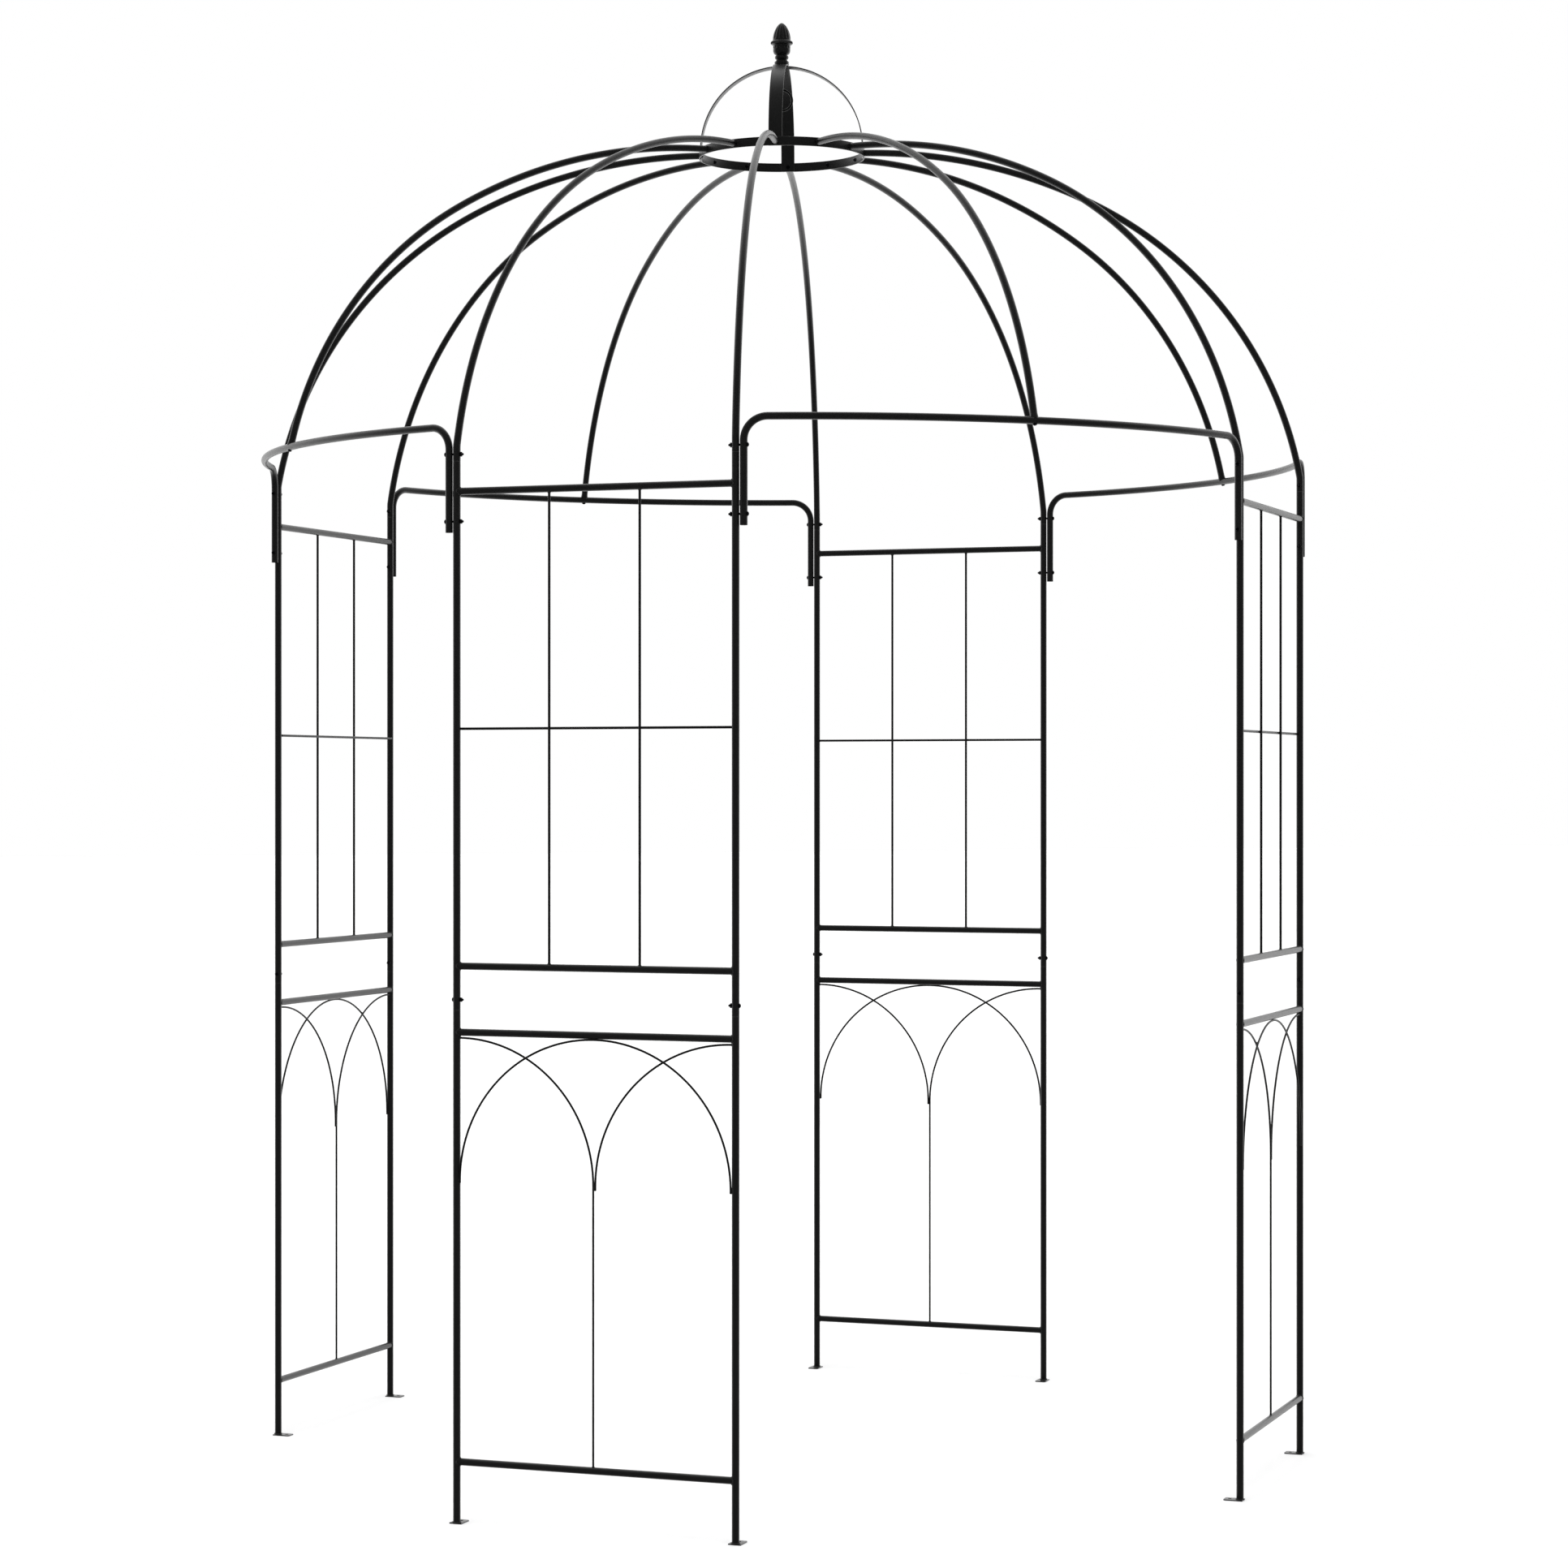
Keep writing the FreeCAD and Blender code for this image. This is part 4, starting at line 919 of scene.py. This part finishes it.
def lathe(profile, segments, carve):
    """Turns (radius, height) points in mm about Z; carve(radius, height, turn) may move them."""
    mesh = bpy.data.meshes.new("turning")
    shaper = bmesh.new()
    rings = []
    for radius, height in profile:
        if radius == 0:
            rings.append([shaper.verts.new(Vector((0, 0, height)) * MM)])
            continue
        ring = []
        for turn in evenly(0, math.tau, segments)[:-1]:
            r, z = carve(radius, height, turn)
            ring.append(shaper.verts.new(Vector((r * math.cos(turn), r * math.sin(turn), z)) * MM))
        rings.append(ring)
    for lower, upper in zip(rings, rings[1:]):
        for i in range(segments):
            j = (i + 1) % segments
            if len(lower) == 1:
                corners = (lower[0], upper[j], upper[i])
            elif len(upper) == 1:
                corners = (lower[i], lower[j], upper[0])
            else:
                corners = (lower[i], lower[j], upper[j], upper[i])
            shaper.faces.new(corners)
    bmesh.ops.recalc_face_normals(shaper, faces=shaper.faces)
    shaper.to_mesh(mesh)
    shaper.free()
    return mesh


FINIAL_HEIGHT = high("finial").z - low("finial").z
FINIAL_LOBES = 12
FINIAL_DIMPLES = 16
FINIAL_SEGMENTS = 192
LOBE_DEPTH = 0.085
RIM_MILLING = 0.35
DIMPLE_HEIGHT = 34.5
DIMPLE_DEPTH = 0.9
ACORN_FOOT = 48.1
ACORN_RADIUS = 17.4


def finial_carving(radius, height, turn):
    """Lobes up the acorn, a milled edge on the rim and a row of dimples round the cup."""
    lobe = abs(math.cos(turn * FINIAL_LOBES / 2))
    below_tip = 1 - smoothstep(FINIAL_HEIGHT - 5, FINIAL_HEIGHT - 1, height)
    on_acorn = smoothstep(49, 54, height) * below_tip
    radius -= LOBE_DEPTH * radius * on_acorn * (1 - lobe) ** 1.6
    on_rim = smoothstep(40.5, 42, height) * (1 - smoothstep(45, 46.5, height))
    radius += RIM_MILLING * on_rim * math.cos(turn * 4 * FINIAL_DIMPLES)
    across = (turn * FINIAL_DIMPLES / math.tau + 0.5) % 1 - 0.5
    sideways = across * math.tau * radius / FINIAL_DIMPLES
    spread = math.hypot(sideways / 2.4, (height - DIMPLE_HEIGHT) / 2.6)
    radius -= DIMPLE_DEPTH * (1 - smoothstep(0.3, 1.0, spread))
    return radius, height


def build_finial():
    """A cast acorn on a turned neck, closed below by its own foot face."""
    def bulge(radius, middle, out, half_height, turns):
        return [(radius + out * math.sin(a), middle - half_height * math.cos(a)) for a in turns]

    foot = [(0, 0), (9, 0), (13.2, 0), (13.9, 0.7), (13.9, 3.8), (13.9, 6.9), (13.7, 7.3)]
    foot += [(13.2, 7.5)]
    neck = [(12.6, 7.8), (11.2, 9.2), (10.3, 10.9)]
    collar = bulge(10.2, 15.5, 3, 3.9, evenly(0.15, math.pi - 0.15, 10))
    collar += [(10.4, 19.6), (11.0, 20.2)]
    cup = bulge(11.0, 29.6, 5.7, 9, evenly(0.1, math.pi / 2, 12))
    cup += [(16.7, z) for z in evenly(30, 38.8, 12)]
    rim = [(17.2, 39.4)] + bulge(17.7, 43.55, 3.4, 3.75, evenly(0.1, math.pi - 0.35, 14))
    seat = [(17.9, 47.6), (17.5, ACORN_FOOT)]
    profile = foot + neck + collar + cup + rim + seat
    for share in evenly(0.02, 1, 44):
        height = ACORN_FOOT + (FINIAL_HEIGHT - ACORN_FOOT) * share
        round_radius = ACORN_RADIUS * (1 - share ** 1.9) ** 0.62
        profile.append((max(round_radius, 0.8 * (1 - share) + 0.05), height))
    profile.append((0, FINIAL_HEIGHT))
    mesh = lathe(profile, FINIAL_SEGMENTS, finial_carving)
    mesh.transform(Matrix.Translation((0, 0, hoop_top * MM)))
    mesh.materials.append(casting_powder_coat)
    add_piece("finial_casting", mesh, ["finial"])


HOOK_NECK = 8.0
HOOK_BOWL = 20.0
HOOK_TIP_TURN = 150.0
HOOK_GRIP = 12


def build_hook():
    """The lantern hook: a shank on the axis, a neck bend and an open bowl with a rounded tip."""
    centre = low("lantern_hook").z + HOOK_WIRE / 2 + HOOK_BOWL
    reach = HOOK_BOWL + HOOK_NECK
    rise = math.sqrt(reach ** 2 - HOOK_NECK ** 2)
    touch = math.degrees(math.atan2(rise, HOOK_NECK))
    neck_bend = arc((HOOK_NECK, centre + rise), HOOK_NECK, 180, 180 + touch, 16)
    bowl_bend = arc((0, centre), HOOK_BOWL, touch, HOOK_TIP_TURN - 360, 72)[1:]
    flat = [(0, hook_nut_top + HOOK_GRIP)] + neck_bend + bowl_bend
    line = [turned_about_axis(HOOK_ANGLE, x, 0, z) for x, z in flat]
    stops = with_lips(line, HOOK_WIRE / 2, HOOK_WIRE / 2 - 0.05, (False, True))
    tube_piece("lantern_hook_wire", [(stops, False)], *HOOK_LOOK, ["lantern_hook"])


# ---------- fasteners and tabs


THREAD_PITCH = 0.7
THREAD_DEPTH = 0.22
HEAD_RIM = 0.6
RECESS_DEPTH = 1.3
BOLT_SEGMENTS = 40
NUT_SEGMENTS = 72
BORE_CLEARANCE = 0.05


def threaded(start, end, radius):
    """The profile of a thread between two heights, as a row of ridges."""
    turns = max(int((end - start) / THREAD_PITCH), 1)
    profile = []
    for i in range(turns):
        z = start + i * THREAD_PITCH
        crest = ((radius, z + THREAD_PITCH * 0.4), (radius, z + THREAD_PITCH * 0.6))
        profile += [(radius - THREAD_DEPTH, z), *crest]
    return profile


def cross_recess(radius, height, turn):
    """Sinks a cross-shaped driver recess into the head's dome."""
    if height > -0.2 or radius > 2.9:
        return radius, height
    x, y = abs(radius * math.cos(turn)), abs(radius * math.sin(turn))
    arm = 1 - smoothstep(0.35, 0.6, min(x, y))
    return radius, height + RECESS_DEPTH * arm * (1 - smoothstep(1.9, 2.5, radius))


def bolt_mesh(length, threaded_from):
    """A domed screw along +Z with its seat at 0 and a cross recess in its head."""
    dome = BOLT_HEAD_HEIGHT - HEAD_RIM
    ball = ((BOLT_HEAD / 2) ** 2 + dome ** 2) / (2 * dome)
    recess_floor = -BOLT_HEAD_HEIGHT + RECESS_DEPTH
    profile = [(0, recess_floor), (0.02, recess_floor)]
    for r in evenly(0.2, 3.7, 18):
        profile.append((r, -HEAD_RIM - (math.sqrt(ball ** 2 - r ** 2) - (ball - dome))))
    profile += [(3.92, -0.7), (4.0, -0.5), (4.0, -0.1), (3.9, 0), (BOLT_SHANK / 2, 0)]
    profile += [(BOLT_SHANK / 2, threaded_from - 0.3)]
    profile += threaded(threaded_from, length - 0.6, BOLT_SHANK / 2)
    profile += [(BOLT_SHANK / 2 - 0.15, length - 0.5), (BOLT_SHANK / 2 - 0.55, length), (0, length)]
    return lathe(profile, BOLT_SEGMENTS, cross_recess)


def hexagonal(radius, height, turn):
    """Spreads a ring out to the nut's six flats, up to the ring's own radius."""
    flats = NUT_WIDTH / 2 / math.cos((turn + math.pi / 6) % (math.pi / 3) - math.pi / 6)
    return (min(radius, flats) if radius > BOLT_SHANK / 2 + 0.5 else radius), height


def nut_mesh(bore):
    """A hexagon nut along +Z, chamfered by turning at both faces."""
    face, corner = NUT_WIDTH / 2 - 0.1, NUT_WIDTH
    top = NUT_HEIGHT
    profile = [
        (bore, 0.4), (bore + 0.35, 0), (face, 0), (face + 0.28, 0.16), (corner, 0.36),
        (corner, top - 0.5), (face + 0.3, top - 0.22), (face - 0.1, top),
        (bore + 0.35, top), (bore, top - 0.4), (bore, 0.4),
    ]
    return lathe(profile, NUT_SEGMENTS, hexagonal)


def fastener_piece(name, groups, replaced):
    """One piece of fasteners: each group is a pattern mesh and its (place, drive) pairs."""
    parts = bmesh.new()
    for seed, (pattern_mesh, seats) in enumerate(groups, start=1):
        pattern = bpy.data.objects.new("pattern", pattern_mesh)
        bpy.context.scene.collection.objects.link(pattern)
        seats_mesh = bpy.data.meshes.new("seats")
        seats_mesh.from_pydata([Vector(place) * MM for place, _ in seats], [], [])
        drives = [c for _, drive in seats for c in Vector(drive).normalized()]
        drive_values = seats_mesh.attributes.new("drive", "FLOAT_VECTOR", "POINT").data
        drive_values.foreach_set("vector", drives)
        inputs = {"Fastener": pattern, "Seed": seed, "Finish": black_screw_finish}
        parts.from_mesh(grow(seats_mesh, driven_fasteners, **inputs))
        bpy.data.objects.remove(pattern)
    mesh = bpy.data.meshes.new(name)
    parts.to_mesh(mesh)
    parts.free()
    mesh.materials.append(black_screw_finish)
    add_piece(name, mesh, [replaced])


def build_fasteners():
    stack = NUT_HEIGHT + BOLT_END
    joint_bolt = bolt_mesh(TUBE + stack, TUBE)
    tie_bolt = bolt_mesh(2 * TUBE + LEG_GAP + stack, 2 * TUBE + LEG_GAP)
    joint_seats, tie_seats, nut_seats = [], [], []

    def across_panel(angle, sign, reach, z):
        place = turned_about_axis(angle, panel_distance, sign * reach, z)
        return place, turned_about_axis(angle, 0, -sign, 0)

    door_face = post_half_spacing + TUBE / 2
    leg_face = leg_half_spacing + TUBE / 2
    panel_face = post_half_spacing - TUBE / 2
    for angle in PANEL_ANGLES.values():
        for sign in SIDES.values():
            joint_seats.append(across_panel(angle, sign, door_face, joint_bolt_height))
            nut_seats.append(across_panel(angle, sign, panel_face, joint_bolt_height))
            for z in tie_bolt_heights:
                tie_seats.append(across_panel(angle, sign, leg_face, z))
                nut_seats.append(across_panel(angle, sign, panel_face, z))
    fastener_piece("post_joint_bolts_domed", [(joint_bolt, joint_seats)], "post_joint_bolts")
    fastener_piece("tie_bar_bolts_domed", [(tie_bolt, tie_seats)], "tie_bar_bolts")
    bolt_nut = nut_mesh(BOLT_SHANK / 2 + BORE_CLEARANCE)
    fastener_piece("bolt_nuts_hexagon", [(bolt_nut, nut_seats)], "bolt_nuts")
    hoop_bore = hoop_radius - STRIP_THICKNESS
    ring_seats, hoop_seats, base_seats = [], [], []
    for angle in range(0, 360, 30):
        behind_hoop = angle % 180 in (UPPER_HOOP_ANGLE % 180, LOWER_HOOP_ANGLE)
        seat = (hoop_bore if behind_hoop else ring_bore) - SEAT
        seats = hoop_seats if behind_hoop else ring_seats
        place = turned_about_axis(angle, seat, 0, crown_height)
        seats.append((place, turned_about_axis(angle, 1, 0, 0)))
    lean_x, lean_z = math.sin(TIE_RIB_LEAN), math.cos(TIE_RIB_LEAN)
    below = TUBE / 2 + SEAT
    for angle in DOORWAY_ANGLES.values():
        out, height = tie_reach + below * lean_x, tie_height - below * lean_z
        place = turned_about_axis(angle, out, 0, height)
        base_seats.append((place, turned_about_axis(angle, -lean_x, 0, lean_z)))
    ring_screw = bolt_mesh(STRIP_THICKNESS + INSERT_LENGTH, STRIP_THICKNESS)
    hoop_screw = bolt_mesh(ring_radius - hoop_bore + INSERT_LENGTH, ring_radius - hoop_bore)
    base_screw = bolt_mesh(TUBE + INSERT_LENGTH, TUBE)
    groups = [(ring_screw, ring_seats), (hoop_screw, hoop_seats), (base_screw, base_seats)]
    fastener_piece("rib_screws_domed", groups, "rib_screws")
    hook_nut = nut_mesh(HOOK_WIRE / 2 + BORE_CLEARANCE)
    nut_foot = Vector((0, 0, low("hook_nut").z))
    fastener_piece("hook_nut_hexagon", [(hook_nut, [(nut_foot, (0, 0, 1))])], "hook_nut")


CUT_EDGE_ANGLE = math.radians(60)
TAB_EDGE = 0.35


def build_foot_tabs():
    """The CAD tabs with their cut edges rounded as the powder coat leaves them."""
    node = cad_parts["foot_tabs"]
    mesh = node.data.copy()
    shaper = bmesh.new()
    shaper.from_mesh(mesh)
    everything = {"verts": shaper.verts, "edges": shaper.edges}
    bmesh.ops.remove_doubles(shaper, verts=shaper.verts, dist=0.01 * MM)
    bmesh.ops.dissolve_limit(shaper, angle_limit=math.radians(1), **everything)
    pairs = [edge for edge in shaper.edges if len(edge.link_faces) == 2]
    cuts = [edge for edge in pairs if edge.calc_face_angle(0) > CUT_EDGE_ANGLE]
    bmesh.ops.bevel(
        shaper, geom=cuts, offset=TAB_EDGE * MM, segments=3, affect="EDGES", profile=0.6
    )
    shaper.to_mesh(mesh)
    shaper.free()
    mesh.materials.clear()
    mesh.materials.append(strip_powder_coat)
    add_piece("foot_tabs_pressed", mesh, ["foot_tabs"])


# ---------- studio


FLOOR_REACH = 60.0
CAMERA_PLACE = (6.710, -3.204, 1.2734)
VIEW_X, VIEW_Y = -0.9151, 0.4031
BRIGHT_SIDE_LIFT = 0.12


def build_studio():
    """A pale floor and a white surround, with soft light that leaves the camera's side darker."""
    scene = bpy.context.scene
    scene.view_settings.view_transform = "Standard"
    floor_mesh = bpy.data.meshes.new("studio_floor")
    signs = ((-1, -1), (1, -1), (1, 1), (-1, 1))
    corners = [(x * FLOOR_REACH, y * FLOOR_REACH, 0) for x, y in signs]
    floor_mesh.from_pydata(corners, [], [(0, 1, 2, 3)])
    floor = bpy.data.objects.new("studio_floor", floor_mesh)
    scene.collection.objects.link(floor)
    paper = bpy.data.materials.new("white_paper_sweep")
    paper.use_nodes = True
    shader = paper.node_tree.nodes["Principled BSDF"]
    shader.inputs["Base Color"].default_value = linear("#e2e2e2")
    shader.inputs["Roughness"].default_value = 1.0
    shader.inputs["Specular IOR Level"].default_value = 0.0
    floor_mesh.materials.append(paper)
    floor.visible_glossy = False

    world = bpy.data.worlds.new("studio_surround")
    scene.world = world
    world.use_nodes = True
    tree = world.node_tree
    background = tree.nodes["Background"]
    background.inputs["Color"].default_value = linear("#ffffff")
    direction = add_node(tree, "ShaderNodeTexCoord").outputs["Generated"]
    bright_side = Vector((VIEW_X, VIEW_Y, BRIGHT_SIDE_LIFT)).normalized()
    facing = add_node(tree, "ShaderNodeVectorMath", {
        0: direction, 1: bright_side,
    }, operation="DOT_PRODUCT")
    surround = add_node(tree, "ShaderNodeMapRange", {
        "Value": facing.outputs["Value"],
        "From Min": -0.2, "From Max": 0.75, "To Min": 0.09, "To Max": 1.5,
    }, interpolation_type="SMOOTHSTEP")
    rays = add_node(tree, "ShaderNodeLightPath")
    seen = add_node(tree, "ShaderNodeMix", {
        "Factor": rays.outputs["Is Camera Ray"], 2: surround.outputs[0], 3: 1.0,
    }, data_type="FLOAT")
    tree.links.new(seen.outputs[0], background.inputs["Strength"])

    sun_data = bpy.data.lights.new("overhead_softbox", "SUN")
    sun_data.energy = 3.0
    sun_data.angle = math.radians(60)
    sun = bpy.data.objects.new("overhead_softbox", sun_data)
    scene.collection.objects.link(sun)
    sun.visible_glossy = False
    sun.rotation_euler = (math.radians(12), math.radians(18), 0)


def build_camera():
    """Eye height, level, a long lens; the object stands a little left of the lens axis."""
    camera_data = bpy.data.cameras.new("camera")
    camera_data.sensor_width = 36
    camera_data.lens = 88.25
    camera_data.shift_x = 0.0764
    camera_data.shift_y = 0.001
    camera = bpy.data.objects.new("camera", camera_data)
    bpy.context.scene.collection.objects.link(camera)
    camera.location = CAMERA_PLACE
    camera.rotation_euler = Vector((VIEW_X, VIEW_Y, 0)).to_track_quat("-Z", "Y").to_euler()
    bpy.context.scene.camera = camera


build_posts()
build_rails()
build_arch_wires()
build_grid_wires()
build_weld_beads()
build_ribs()
build_tie_bars()
build_crown_strips()
build_finial()
build_hook()
build_fasteners()
build_foot_tabs()
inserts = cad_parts["rib_inserts"]
inserts.data.materials.clear()
inserts.data.materials.append(bright_insert_finish)
build_studio()
build_camera()
